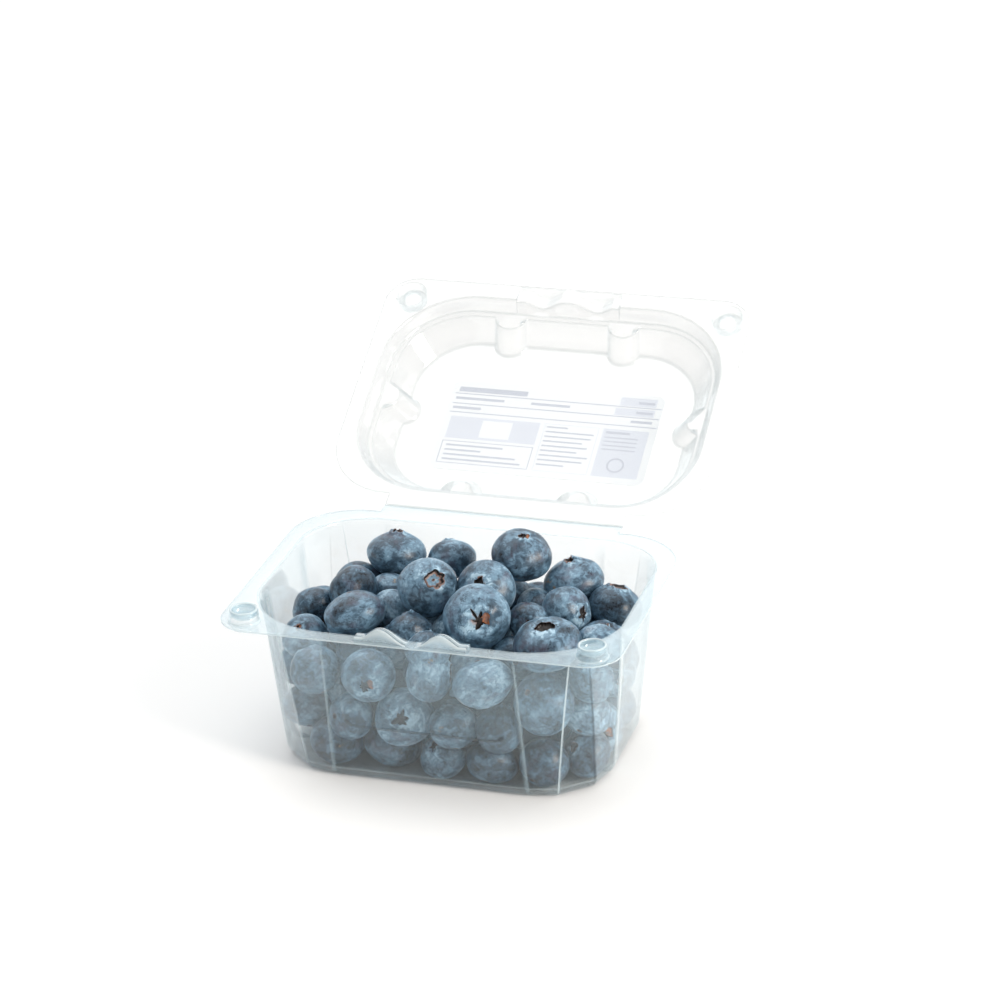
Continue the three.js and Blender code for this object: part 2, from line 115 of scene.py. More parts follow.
MOUTH = Edge(55.8, -38.7, 38.7, 26.3, 20)
FOOT = Edge(50.7, -31.6, 31.6, 20, 15.5)
FLANGE = Edge(TRAY_HIGH.x, TRAY_LOW.y, -TRAY_LOW.y, 10.3, 20)
FOOT_HEIGHT, FOOT_TUCK, FOOT_ANGLE = 3.2, 2.6, 22
RIM_FILLET = 0.9
MOUTH_CREASES = (0, 37, 49, 82)
FOOT_CREASES = (0, 24, 60, 90)
CREASE_FADE = 8
PANEL_HALF, PANEL_BOTTOM, PANEL_TOP, PANEL_DEPTH = 24.8, 19.3, 44, 0.7
HINGE_HALF = 38.5
BUTTON_X, BUTTON_Y, BUTTON_RADIUS, BUTTON_HEIGHT, BUTTON_TIP = 53, -37.2, 4.4, 4, 0.98
HUMP_CENTRE, HUMP_HALF, HUMP_HEIGHT = 9.2, 8.2, 3.9
LATCH_HALF, LATCH_SHELF = 17, 1.2  # where the latch ends, in a low shelf

LID_MOUTH = Edge(55.9, -38, 41, 27.4, 25.2)
LID_STEP = Edge(52.1, -34.2, 37.2, 22.3, 21.6)
LID_TOP = Edge(45.9, -28, 31, 19, 16.5)
STEP_HEIGHT, STEP_RISE, STEP_LEDGE = 5.2, 0.8, 1.4
LID_HEIGHT = 13.1
FLUTE_RADIUS, FLUTE_SINK, FLUTE_X = 5.2, 1.2, 19

LABEL_WIDTH, LABEL_DEPTH, LABEL_X, LABEL_Y, LABEL_CORNER = 71, 36.5, 1, 4, 3
LABEL_THICKNESS = 0.3
# The label's print, as boxes in mm from its middle: left, near the latch, right, near the
# hinge. Fields are tinted, blanks are bare paper within them, and bars stand for words.
PRINT_FIELDS = ((21, -16.6, 33, -13.2), (20, -12.2, 33, -9.2), (-33, -3.4, -3, 5.6),
                (18, -3.4, 33, 15.8), (-1.4, -3.4, 16.6, 15.8))
PRINT_BLANKS = ((-1.2, -3.2, 16.4, 15.6), (-22, -2.4, -12, 4.6))
PRINT_BARS = (
    (-33, -15.6, -10, -13.6), (27, -15.2, 32.4, -14.2), (27, -11.2, 32.4, -10.2),
    (-34, -13, 35, -12.6), (-34, -8.9, 35, -8.5), (-34, -5.3, 35, -4.9),
    (-33.4, -11.4, -17, -10.4), (-8, -11.4, 5, -10.4), (-33.4, -7.5, -24, -6.5),
    (26, -7.5, 33, -6.5), (-33.4, 6.6, -3, 6.9), (-33.4, 15.4, -3, 15.7),
    (-33.4, 6.6, -33.1, 15.7), (-3.3, 6.6, -3, 15.7),
    *((-31.8, 8 + 1.9 * i, -31.8 + length, 8.7 + 1.9 * i)
      for i, length in enumerate((19, 12, 24, 26))),
    *((-0.6, -2.4 + 1.9 * i, -0.6 + length, -1.8 + 1.9 * i)
      for i, length in enumerate((7, 16, 15.4, 13, 15, 12, 16, 14.6, 9))),
    (19, -2.4, 27, -1.5), *((19, -0.2 + 1.6 * i, 30, 0.3 + 1.6 * i) for i in range(4)),
)
PRINT_RING = (25, 11, 2.6, 0.35)  # middle, radius and half width of a plain ring
PRINT_OUTSIDE = ((-34, -16.6, 34, -11), (-34, 10, -6, 15.6))
PRINT_OUTSIDE_BARS = ((-30, -14.6, 10, -13), (-34, -8, 34, -7.6), (0, 10.4, 33, 11.2),
                      (0, 12.6, 28, 13.4), (0, 14.8, 30, 15.6))
VEIL_FROM, VEIL_TO, VEIL_AT_FOOT = 8, 36, 0.12  # heights between which the veil grows, a painted reflection of the floor, which lies in shade near the foot
FOLD_HIGHLIGHT_SCATTER, MILK_SCATTER = 0.45, 0.34  # how pale the painted highlight along a fold is, and how milky a stretched patch is
HEAD_ON_SHINE, SHINE, SHINE_POWER = 0.04, 0.8, 3.5
CAD_SHEET = 0.8  # the sheet as the solids have it

# Berries that show on top and behind the front wall: x, y, z, width, height along the
# crown's axis, the way the crown faces, the kind of crown, and how much bloom there is.
RING, OPEN, STAR, CLOSED, NICK, TORN = range(6)
DARK, DULL, PLAIN, PALE = 0.12, 0.28, 0.5, 0.85
SHOWN = (
    (-27, 25, 47.5, 17.7, 13.4, (0, 0.23, 0.97), CLOSED, PLAIN),
    (-10, 27, 46, 15, 12.5, (-0.3, 0.5, 0.8), CLOSED, PLAIN),
    (16, 16, 55.3, 17.9, 14.6, (0.17, -0.12, 0.98), NICK, DARK),
    (31, 20, 46.6, 18.6, 13.2, (-0.15, -0.02, 0.98), CLOSED, PLAIN),
    (45.4, 14, 42, 16.7, 13.5, (0.12, 0.26, 0.95), RING, DARK),
    (33, 4, 44, 15.6, 14, (0.9, -0.41, 0.14), STAR, PLAIN),
    (34.6, -21, 45.6, 20, 14.6, (-0.05, -0.2, 0.98), OPEN, DULL),
    (24.5, -7, 45.4, 11.5, 10.4, (-0.28, 0.86, -0.42), CLOSED, DARK),
    (-7.6, -3, 51.2, 18, 16.4, (0.48, -0.56, 0.68), RING, PLAIN),
    (9, 2, 49.8, 18.2, 15, (-0.08, -0.81, 0.58), OPEN, PLAIN),
    (11.2, -15, 49.1, 19.9, 16.7, (0.39, -0.88, 0.29), TORN, PLAIN),
    (-38, 21, 37.4, 16, 13.6, (-0.3, 0.8, 0.5), STAR, DARK),
    (-25, 12, 40, 14, 12, (0.4, 0.6, 0.6), CLOSED, PLAIN),
    (-27.4, -13, 45.1, 18.6, 12.9, (0.3, -0.2, -0.93), CLOSED, DARK),
    (-45.2, 0, 38.4, 14, 12, (-0.5, 0.6, 0.2), CLOSED, DARK),
    (-43, -15, 36.8, 14.4, 12, (-0.16, -0.58, 0.8), NICK, PLAIN),
    (-9, -17, 42.7, 14, 11.4, (-0.25, 0.6, 0.76), CLOSED, DARK),
    (0.4, -29, 43.9, 13, 11.6, (-0.2, 0.6, 0.77), CLOSED, PLAIN),
    (47.7, -12, 43, 13.6, 11.4, (0.1, 0.6, 0.8), CLOSED, PALE),
    (11.8, 19, 39, 14, 12, (0.6, 0.6, 0.4), RING, DARK),
    (-20, -1, 41, 14, 12, (0.5, 0.8, 0.2), CLOSED, PALE),
    (-18.4, -28.8, 33.6, 16.4, 14.6, (0.11, -0.99, -0.05), TORN, PLAIN),
    (0.5, -29.4, 36, 16.4, 13.2, (0.95, 0.3, 0), RING, PALE),
    (16.8, -28, 34.6, 18.6, 13.8, (0.3, -0.2, -0.9), STAR, PALE),
    (-37, -24.5, 31, 15.6, 14, (-0.5, 0.4, 0.7), RING, DARK),
    (34.6, -25.4, 28.6, 19, 16.8, (0.44, 0.59, -0.68), RING, DULL),
    (-8.8, -26.4, 19.6, 17.8, 15.6, (0.14, -0.91, 0.38), STAR, PALE),
    (-25.2, -27.6, 18.6, 14.6, 13, (0.5, 0.7, -0.3), CLOSED, PLAIN),
    (6.6, -27, 18.6, 14.8, 13.2, (-0.2, 0.5, 0.85), RING, PLAIN),
    (20.6, -27.2, 19.2, 13.8, 14.4, (0.2, 0.5, 0.85), CLOSED, DARK),
    (-31, -24.5, 8.6, 16.2, 15, (0.2, 0.4, 0.9), RING, DARK),
    (-14.4, -22, 8.2, 17.4, 14.4, (0.1, 0.5, 0.9), RING, DARK),
    (2.4, -25.4, 7.2, 13.6, 12.4, (-0.3, -0.5, 0.81), STAR, PLAIN),
    (17.4, -25.2, 7.2, 16, 12.6, (0.2, 0.6, 0.75), RING, DARK),
    (33.4, -24.4, 8.4, 15, 14, (0.3, 0.8, 0.4), CLOSED, DARK),
    (46.6, -18.6, 34.4, 14.6, 13, (0.5, 0.6, 0.6), RING, PLAIN),
    (45, -17.2, 22, 14.8, 12.8, (0.2, 0.8, 0.5), CLOSED, PALE),
    (43.8, -15.6, 8.2, 15, 13.6, (-0.4, -0.7, 0.6), CLOSED, DARK),
    (-42.6, -17, 14.6, 15.8, 13.4, (-0.2, 0.6, 0.75), RING, PLAIN),
)

# The rest lie in rows, each nudged a little, and are then pushed apart.
FILL_LAYERS = (8, 20.5, 33, 43.5)
FILL_X, FILL_Y = (-47, 47, 13.4), (-26, 31, 12.6)
FILL_JITTER = 2.4
FILL_WIDTH, FILL_SQUASH = (13.4, 17.2), (0.78, 0.9)
FILL_TOP_FRONT, FILL_TOP_BACK = (6, 44.5), (24, 35)
CROWDING = 0.76
SETTLE_ROUNDS = 60
WALL_GOES_ON = 1.2  # shares of its height that the wall is taken to go on sloping for
ROUND_SLACK = 0.97  # keeps a fill berry clear of a round corner
LUMP = 0.0011  # how uneven a berry is, in metres
LUMP_SHIFT = 53.0  # sets the lumps of one berry off from another's
SQUEEZE = 2
TORN_SIDE = Vector((0.93, 0.2, 0.3))  # the way the torn side of a crown faces
PRESSED = 0.2  # air between a pressed berry and the sheet
HEAP_SEED = 20477

# The camera, in mm and degrees.
CAMERA_PLACE = Vector((313.4, -912.0, 519.8))
CAMERA_AZIMUTH, CAMERA_ELEVATION, CAMERA_ROLL = 18.107, 24.593, -2.505
CAMERA_LENS, CAMERA_SENSOR = 129.6, 36
CAMERA_CLIP = 0.01  # in metres

# The surroundings grow brighter between these shares of the way along +Y.
BACKDROP_SPREAD = (-0.3, 0.7)
FLOOR_HALF = 3.0  # in metres, as the lamps' places and sizes are
LAMP_AIM = Vector((0, 0, 0.03))
LAMPS = (  # name, place, size and colour
    ("overhead", Vector((-0.45, 0.25, 1.65)), 2.2, (1, 1, 1)),
    ("side", Vector((1.0, -0.28, 0.5)), 0.4, (1, 0.92, 0.84)),
)


# ---------------- settings


def colour(name, description, default):
    """A colour that a user can change."""
    return FloatVectorProperty(name=name, description=description, default=default, size=3,
                               min=0, max=1, subtype="COLOR")


class SheetSettings(bpy.types.PropertyGroup):
    """Sizes and colours of the clear formed sheet."""

    thickness: FloatProperty(
        name="Thickness", description="Wall of the formed sheet",
        default=0.00045, min=0.0002, max=0.0008, precision=5, unit="LENGTH")
    tint: colour("Tint", "What one face of the sheet lets through", (0.97, 0.976, 0.977))
    grazing: colour("Grazing Tint", "What it lets through when seen edge on", (0.86, 0.92, 0.94))
    lid_tint: colour("Lid Tint", "What one face of the lid lets through", (0.988, 0.992, 0.993))
    lid_grazing: colour(
        "Lid Grazing Tint", "What the lid lets through when seen edge on", (0.84, 0.87, 0.88))
    # Painted shade: the bend tint darkens what is seen through a fold.
    bend: colour("Bend Tint", "What it lets through along a fold", (0.72, 0.76, 0.77))
    # Painted shade: the line tint darkens the sheet along creases and round the pressed panel.
    line: colour("Line Tint", "What it lets through along a pressed line", (0.10, 0.12, 0.13))
    haze: FloatProperty(
        name="Haze", description="Share of the light that one face of the tray scatters",
        default=0.08, min=0, max=0.5, subtype="FACTOR")
    clearness: FloatProperty(
        name="Lid Haze", description="Share of the light that one face of the lid scatters",
        default=0.012, min=0, max=0.5, subtype="FACTOR")
    # The veil is in part the sheet's own haze and in part a painted reflection of the pale floor.
    veil: colour("Veil Colour", "Colour of the light that the tray scatters", (0.56, 0.80, 0.92))
    lid_veil: colour(
        "Lid Veil Colour", "Colour of the light that the lid scatters", (0.90, 0.92, 0.92))
    # Painted highlight: the fold colour is the pale light drawn along folds and cut edges.
    fold: colour("Fold Colour", "Colour of the folds and cut edges", (0.86, 0.94, 0.96))
    milk: colour("Milk Colour", "Colour of the stretched, milky patches", (0.74, 0.80, 0.82))


class BerrySettings(bpy.types.PropertyGroup):
    """Looks of the berries."""

    skin: colour("Skin", "Dark skin where the bloom is rubbed off", (0.008, 0.015, 0.024))
    slate: colour("Thin Bloom", "Skin under a thin bloom", (0.052, 0.098, 0.145))
    bloom: colour("Bloom", "The waxy bloom", (0.175, 0.300, 0.410))
    frost: colour("Frost", "The bloom where it lies thickest", (0.42, 0.60, 0.72))
    ripe: colour("Ripe Patch", "Warmer, purplish patches of skin", (0.085, 0.070, 0.105))
    calyx: colour("Crown", "The dark inside of the crown", (0.016, 0.011, 0.010))
    scar: colour("Scar", "The brown, dry edges of the crown", (0.22, 0.125, 0.10))
    flesh: colour("Torn Crown", "Orange-brown inside a torn crown", (0.50, 0.17, 0.06))
    gold: colour("Gold Spots", "Dry golden spots on a few berries", (0.34, 0.21, 0.08))
    growth: FloatProperty(
        name="Growth", description="Scale of every berry about its own middle",
        default=1.0, min=0.9, max=1.05)
    seed: IntProperty(
        name="Seed", description="Draws each berry's spin and tone", default=11, min=0)


class LabelSettings(bpy.types.PropertyGroup):
    """Colours of the label."""

    paper: colour("Paper", "Colour of the label's paper", (0.96, 0.965, 0.975))
    field: colour("Fields", "Colour of the tinted fields", (0.78, 0.80, 0.87))
    ink: colour("Ink", "Colour of the rules and bars", (0.58, 0.60, 0.68))


class StageSettings(bpy.types.PropertyGroup):
    """The floor, the light and the surroundings."""

    floor: colour("Floor", "Colour of the floor", (0.95, 0.95, 0.945))
    sky: FloatProperty(
        name="Surroundings", description="Brightness of the pale surroundings in front",
        default=0.45, min=0, max=4)
    backdrop: FloatProperty(
        name="Backdrop", description="Brightness of the pale surroundings at the back",
        default=1.15, min=0, max=4)
    key: FloatProperty(
        name="Overhead Light", description="Power of the large soft light overhead",
        default=16.0, min=0, max=200, subtype="POWER", unit="POWER")
    side: FloatProperty(
        name="Side Light", description="Power of the small warm light at the right",
        default=9.5, min=0, max=200, subtype="POWER", unit="POWER")


# ---------------- outlines


def lerp(a, b, t):
    """A share t of the way from a to b."""
    return a + (b - a) * t


def smooth(t):
    """0 to 1 with level ends."""
    t = np.clip(t, 0, 1)
    return t * t * (3 - 2 * t)


def grown(edge, distance):
    """The same outline moved outward."""
    return Edge(edge.half + distance, edge.front - distance, edge.back + distance,
                edge.front_radius + distance, edge.back_radius + distance)


def between(a, b, t):
    """An outline a share t of the way from a to b."""
    return Edge(*(lerp(p, q, t) for p, q in zip(a, b)))


def corner(edge, side_x, side_y, creases, samples, roundness):
    """Points round one corner from the long side to the short one, flat between creases."""
    radius = edge.front_radius if side_y < 0 else edge.back_radius
    middle_x = side_x * (edge.half - radius)
    middle_y = edge.front + radius if side_y < 0 else edge.back - radius

    def at(degrees):
        angle = math.radians(degrees)
        return np.array((middle_x + side_x * radius * math.sin(angle),
                         middle_y + side_y * radius * math.cos(angle)))

    points = [at(creases[0])]
    for a, b, steps in zip(creases, creases[1:], samples):
        for t in steps:
            flat = lerp(at(a), at(b), t)
            points.append(lerp(flat, at(lerp(a, b, t)), roundness))
    return np.array(points)


def outline(edge, creases, samples, roundness, front_x, side_y, back_x):
    """A whole outline, anticlockwise from the front left, with stations on its sides."""

    def along(a, b):
        heights = side_y if b[1] > a[1] else side_y[::-1]
        return [(lerp(a[0], b[0], (y - a[1]) / (b[1] - a[1])), y) for y in heights]

    def turn(side_x, side_y_sign):
        return corner(edge, side_x, side_y_sign, creases, samples, roundness)

    front_right, back_right = turn(1, -1), turn(1, 1)[::-1]
    back_left, front_left = turn(-1, 1), turn(-1, -1)[::-1]
    return np.array([
        *((x, edge.front) for x in front_x),
        *front_right,
        *along(front_right[-1], back_right[0]),
        *back_right,
        *((x, edge.back) for x in back_x[::-1]),
        *back_left,
        *along(back_left[-1], front_left[0]),
        *front_left,
    ])


def hump(x):
    """Height of the two latch humps at x, which end in low shelves."""
    x = np.abs(np.asarray(x, float))
    across = np.clip(np.abs(x - HUMP_CENTRE) / HUMP_HALF, 0, 1)
    rise = HUMP_HEIGHT * np.cos(across * math.pi / 2) ** 2
    shelf = np.where(x > HUMP_CENTRE, LATCH_SHELF, 0)
    return np.where(x < LATCH_HALF, np.maximum(rise, shelf), 0)


def mirrored(values):
    """The values and their opposites, in order."""
    return np.unique(np.round([*values, *(-v for v in values)], 4))


# ---------------- meshes


def link(name, mesh, material):
    """A new object of the scene, with one material."""
    piece = bpy.data.objects.new(name, mesh)
    bpy.context.scene.collection.objects.link(piece)
    mesh.materials.clear()
    mesh.materials.append(material)
    return piece


def store(mesh, name, values, kind="FLOAT_VECTOR"):
    """Stores a value for each vertex of a mesh."""
    field = "vector" if kind == "FLOAT_VECTOR" else "value"
    numbers = np.ravel(values).astype(np.int32 if kind == "INT" else np.float32)
    mesh.attributes.new(name, kind, "POINT").data.foreach_set(field, numbers)


def loft(bm, rings, closed=True):
    """Faces from each ring of vertices to the next, or from each open row to the next."""
    for first, second in zip(rings, rings[1:]):
        for i in range(len(first) - (not closed)):
            j = (i + 1) % len(first)
            bm.faces.new((first[i], first[j], second[j], second[i]))


def finished(bm, name, material):
    """The object that a bmesh makes."""
    mesh = bpy.data.meshes.new(name)
    bm.to_mesh(mesh)
    bm.free()
    return link(name, mesh, material)


def solid(name, rings, material):
    """A closed solid through rings of points in mm, flat at both ends."""
    bm = bmesh.new()
    rings = [[bm.verts.new(Vector(point) * MM) for point in ring] for ring in rings]
    loft(bm, rings)
    bm.faces.new(rings[0])
    bm.faces.new(rings[-1])
    bmesh.ops.recalc_face_normals(bm, faces=bm.faces)
    return finished(bm, name, material)


class SheetMesh:
    """A formed sheet as rings and plates of one bmesh, with marks for its shader.

    Each mark is a triple: painted highlight and shade along a fold, painted shade line and milky
    patch, from 0 to 1."""

    def __init__(self):
        self.bm = bmesh.new()
        self.marks = self.bm.verts.layers.float_vector.new("marks")

    def ring(self, points, heights, fold=0, dark=0, milk=0):
        """Vertices in mm, with heights and marks that are the same for all or one for each."""
        points = np.asarray(points)
        rows = np.broadcast_arrays(points[:, 0], points[:, 1], heights, fold, dark, milk)
        verts = []
        for x, y, z, *marks in zip(*rows):
            vert = self.bm.verts.new((x, y, z))
            vert[self.marks] = marks
            verts.append(vert)
        return verts

    def close(self, ring, height):
        """Closes a ring with a fan."""
        centre = self.bm.verts.new((0, 0, height))
        for i, a in enumerate(ring):
            self.bm.faces.new((a, ring[(i + 1) % len(ring)], centre))

    def plate(self, loops):
        """Fills between closed loops of vertices, the first of which is the outer one."""
        edges = set()
        for loop in loops:
            for i, a in enumerate(loop):
                b = loop[(i + 1) % len(loop)]
                edges.add(self.bm.edges.get((a, b)) or self.bm.edges.new((a, b)))
        bmesh.ops.triangle_fill(self.bm, use_beauty=True, use_dissolve=False,
                                edges=list(edges), normal=(0, 0, 1))

    def finish(self, name, facing, turn, thickness, material):
        """A finished object; facing is +1 if its plates face up and -1 if they face down."""
        bmesh.ops.recalc_face_normals(self.bm, faces=self.bm.faces)
        largest = max(self.bm.faces, key=lambda face: face.calc_area())
        if largest.normal.z * facing < 0:
            bmesh.ops.reverse_faces(self.bm, faces=self.bm.faces)
        for vert in self.bm.verts:
            vert.co = turn @ Vector(vert.co) * MM
        piece = finished(self.bm, name, material)
        piece.data.shade_smooth()
        wall = piece.modifiers.new("wall", "SOLIDIFY")
        wall.thickness = thickness
        wall.offset = -1
        return piece


# ---------------- buttons and flanges

BUTTON_SIDES = 40
BUTTON_PROFILE = (  # out from the side, up from the plate or down from the top, and painted highlight
    (0.75, 0.0, None, 0.1), (0.3, 0.16, None, 0.75), (0.06, 0.6, None, 0.25),
    (0.0, 2.0, None, 0.0), (-0.04, None, 0.6, 0.2), (-0.16, None, 0.16, 0.9),
    (-0.45, None, 0.0, 0.9), (-0.75, None, 0.16, 0.9), (-0.9, None, 0.6, 0.3),
    (-1.05, None, 2.0, 0.1), (-1.35, None, 2.25, 0.5), (-2.6, None, 2.3, 0.0),
)
CREST_MIDDLE = -0.5  # how far in the crest round the sunken top has its middle
LATCH_ROWS = (  # in from the cut edge, share of the hump's height, painted highlight, painted shade line and milk
    (0.7, 0.0, 0.7, 0.2, 0), (0.82, 0.2, 0.1, 0, 0.2), (0.9, 0.9, 0.8, 0, 0.2),
    (1.02, 1.07, 1, 0, 0), (1.3, 1.12, 0.9, 0, 0), (1.6, 1.12, 0, 0.2, 0),
    (2.7, 1.08, 0, 0.2, 0), (3.0, 1.07, 1, 0, 0), (3.4, 1.05, 1, 0, 0),
    (3.9, 0.98, 0.1, 0, 0),
)
HUMP_FOOT = 0.05  # a latch strip lower than this bears no marks
FLANGE_STEPS = np.linspace(0, 1, 13)[1:]
FLANGE_SIDE_Y = np.array((-20.0, 0.0, 20.0))
EDGE_BEAD = 0.3  # width of the painted highlight along a cut edge
# The cut edge and the bead within it take a painted highlight.
EDGE_HIGHLIGHT, BEAD_HIGHLIGHT = 0.8, 0.1


def button(sheet, x, radius, base, top, wider_crest=0.0):
    """A round button standing on a plate, with a sunken top. Returns its lowest ring."""
    angles = np.linspace(0, 2 * math.pi, BUTTON_SIDES, endpoint=False)
    circle = np.column_stack((np.cos(angles), np.sin(angles)))
    rings = []
    for out, up, down, fold in BUTTON_PROFILE:
        height = base + up if down is None else top - down
        narrow = radius * (1 - BUTTON_TIP) * (height - base) / (top - base)
        narrow += wider_crest * (out < CREST_MIDDLE)
        rings.append(sheet.ring(circle * (radius - narrow + out) + (x, BUTTON_Y), height, fold))
    loft(sheet.bm, rings)
    sheet.bm.faces.new(rings[-1])
    return rings[0]


def inset(points, distance):
    """A closed anticlockwise outline moved inward."""
    ahead = np.roll(points, -1, 0) - points
    normals = np.column_stack((-ahead[:, 1], ahead[:, 0]))
    normals /= np.linalg.norm(normals, axis=1)[:, None]
    before = np.roll(normals, 1, 0)
    both = normals + before
    return points + both * distance / (1 + np.sum(normals * before, axis=1))[:, None]


def flange(sheet, rim, base, front_x, buttons, milky, tone=0.0):
    """The flange round a rim: its cut edge, raised latch strip, plate and hinge strip."""
    count = len(front_x)
    middle = (FLANGE.back + STRIP_END) / 2
    strip = ((HINGE_HALF, FLANGE.back), (HINGE_HALF, middle), (HINGE_HALF, STRIP_END),
             (0, STRIP_END), (-HINGE_HALF, STRIP_END), (-HINGE_HALF, middle),
             (-HINGE_HALF, FLANGE.back))
    plain = outline(FLANGE, (0, 90), (FLANGE_STEPS,), 1, front_x, FLANGE_SIDE_Y, ())
    back = int(np.flatnonzero(np.isclose(plain[:, 1], FLANGE.back))[1])
    outer = np.vstack((plain[:back], strip, plain[back:]))
    # The cut edge and its bead take a painted highlight, and tone adds painted shade to them.
    edge = sheet.ring(outer, base, EDGE_HIGHLIGHT, tone)
    bead = sheet.ring(inset(outer, EDGE_BEAD), base, BEAD_HIGHLIGHT, tone)
    loft(sheet.bm, (edge, bead))
    height = hump(front_x)
    raised = height > HUMP_FOOT
    rows = [bead[:count]]
    for inward, share, *marks in LATCH_ROWS:
        points = np.column_stack((front_x, np.full(count, FLANGE.front + inward)))
        rows.append(sheet.ring(points, base + share * height,
                               *(mark * raised * milky for mark in marks)))
    rows.append(rim[:count])
    loft(sheet.bm, rows, closed=False)
    inner = rows[1:-1]
    loop = [*bead[count - 1:], bead[0], *(row[0] for row in inner), rim[0],
            *rim[:count - 1:-1], rim[count - 1], *(row[-1] for row in inner[::-1])]
    sheet.plate([loop, *buttons])


# ---------------- tray

# Where the outlines have their points: shares of a facet, and stations along the sides.
LONG_FACET = (0.012, 0.035, 0.1, 0.28, 0.5, 0.72, 0.9, 0.965, 0.988, 1)
SHORT_FACET = (0.05, 0.15, 0.5, 0.85, 0.95, 1)
WALL_SAMPLES = (LONG_FACET, SHORT_FACET, LONG_FACET)
CREASE_HIGHLIGHT = (0.45, 0.9, 0.0, 1.0)  # painted highlight at each crease of a corner
CREASE_SHADE = (0.0, 0.0, 0.36, 0.1)  # painted shade line there
AROUND_PANEL = (-3.6, -2.6, -1.6, -0.8, -0.35, -0.1, 0.15, 0.4, 0.9, 2.4, 4.1)
AROUND_LATCH_END = (15.7, 16.2, 16.6, 16.85, 16.98, 17.02, 17.2)
FRONT_X = mirrored([*np.arange(0, 16, 0.85), *AROUND_LATCH_END, 18.2,
                    *(PANEL_HALF + np.array(AROUND_PANEL))])
BACK_X = mirrored([0, 10, 18, *(PANEL_HALF + np.array(AROUND_PANEL)), 32])
SIDE_Y = np.array((-9.0, -4.0, 2.0, 8.0, 13.0))
PANEL_ROUNDING = 4.0
PANEL_SLOPE = 0.9  # width of the slope round the panel
PANEL_SHADE_LINE = 0.28  # half width of the painted shade line round the panel
SHADE_LINE_TOP, SHADE_LINE_FADE = PANEL_BOTTOM + 2.8, 1.5  # where that line ends, and how softly
SHADE_LINE_LOW = FOOT_HEIGHT + 6
LONG_WALL_Y = between(FOOT, MOUTH, 0.3).back  # the line is on what lies further out
BACK_PAINTED_LINES = 0.3  # how strong the painted highlight and shade lines of the back wall are, against those in front
RIM_TURN = ((90, 0.0), (66, 0.65), (42, 0.2), (20, 0.0))  # degrees round the rim, and the painted highlight there
WALL_HEIGHTS = (
    51.0, 50.2, 49, 47.5, 46, 44, 42, 39, 35, 31, 27, 24.5,
    *(PANEL_BOTTOM + np.array((4.1, 3.3, 2.6, 2.0, 1.5, 1.1, 0.75, 0.45, 0.2, 0, -0.2, -0.45,
                               -0.9))),
    16, 13.5, 10.5, 7.5, 5, 4, 3.5, 3.3,
)
FOOT_TURN = (24, 28, 36, 46, 56, 67, 78, 90)  # degrees round the foot
FOOT_HIGHLIGHT = 0.95  # painted highlight where the wall turns into the foot
FLOOR_RISE = 0.5  # how far the middle of the floor stands up
FLOOR_RINGS = (  # share of the foot's outline, height and painted highlight
    (0.93, 0, 0), (0.9, FLOOR_RISE / 2, 0.25), (0.88, FLOOR_RISE, 0.1), (0.5, FLOOR_RISE, 0),
)
HUMP_ON_WALL = 0.88  # share of a hump's height that the top of the wall takes up
HUMP_LOW, HUMP_FADE = 43.5, 7  # where the wall starts to rise with it, and how softly
FRONT_BAND = 4  # how far behind the mouth's edge the front wall still lies


def past_panel(x, height):
    """How far a point of a long wall lies outside the embossed panel's outline."""
    across = np.abs(x) - (PANEL_HALF - PANEL_ROUNDING)
    down = (PANEL_BOTTOM + PANEL_ROUNDING) - height
    return np.hypot(np.maximum(across, 0), np.maximum(down, 0)) - PANEL_ROUNDING


def wall_ring(height, distance):
    """One level of the tray's wall, grown outward from its inner face, and how flat it is."""
    t = min(max((height - FOOT_HEIGHT) / (RIM - FOOT_HEIGHT), 0), 1)
    edge = grown(between(FOOT, MOUTH, t), distance)
    creases = [lerp(a, b, t) for a, b in zip(FOOT_CREASES, MOUTH_CREASES)]
    roundness = smooth(1 - (RIM - height) / CREASE_FADE)
    points = outline(edge, creases, WALL_SAMPLES, roundness, FRONT_X, SIDE_Y, BACK_X)
    bulge = PANEL_DEPTH * smooth(0.5 - past_panel(points[:, 0], height) / PANEL_SLOPE)
    bulge *= min(max((PANEL_TOP - height) / (PANEL_TOP - PANEL_BOTTOM), 0), 1)
    points[:, 1] -= np.where(np.isclose(points[:, 1], edge.front), bulge, 0)
    points[:, 1] += np.where(np.isclose(points[:, 1], edge.back), bulge, 0)
    return softened(points), 1 - roundness


def crease_marks(strengths):
    """The strengths at the vertices of a wall ring where facets meet, and 0 elsewhere."""
    counts = [len(steps) for steps in WALL_SAMPLES]
    marks = np.zeros(sum(counts) + 1)
    marks[np.concatenate(([0], np.cumsum(counts)))] = strengths
    side = np.zeros(len(SIDE_Y))
    return np.concatenate((np.zeros(len(FRONT_X)), marks, side, marks[::-1],
                           np.zeros(len(BACK_X)), marks, side, marks[::-1]))


def softened(points):
    """The outline with its kinks rounded a little, and its straight runs as they were."""
    before, after = np.roll(points, 1, 0), np.roll(points, -1, 0)
    straight = np.isclose(before[:, 1], points[:, 1]) & np.isclose(after[:, 1], points[:, 1])
    return np.where(straight[:, None], points, (before + 2 * points + after) / 4)


def wall_levels(floor):
    """Height, distance out, the height whose outline it takes, and fold, from the rim down."""
    levels = []
    for degrees, fold in RIM_TURN:
        angle = math.radians(degrees)
        levels.append((RIM - RIM_FILLET * (1 - math.sin(angle)),
                       RIM_FILLET * (1 - math.cos(angle)), RIM, fold))
    levels += [(height, 0, height, 0) for height in WALL_HEIGHTS]
    levels.append((FOOT_HEIGHT, 0, FOOT_HEIGHT, FOOT_HIGHLIGHT))
    first = math.radians(FOOT_ANGLE)
    for degrees in FOOT_TURN:
        angle = math.radians(degrees)
        down = (math.sin(angle) - math.sin(first)) / (1 - math.sin(first))
        tuck = FOOT_TUCK * (1 - math.cos(angle) / math.cos(first))
        levels.append((lerp(FOOT_HEIGHT, floor, down), -tuck, FOOT_HEIGHT, 0))
    return levels


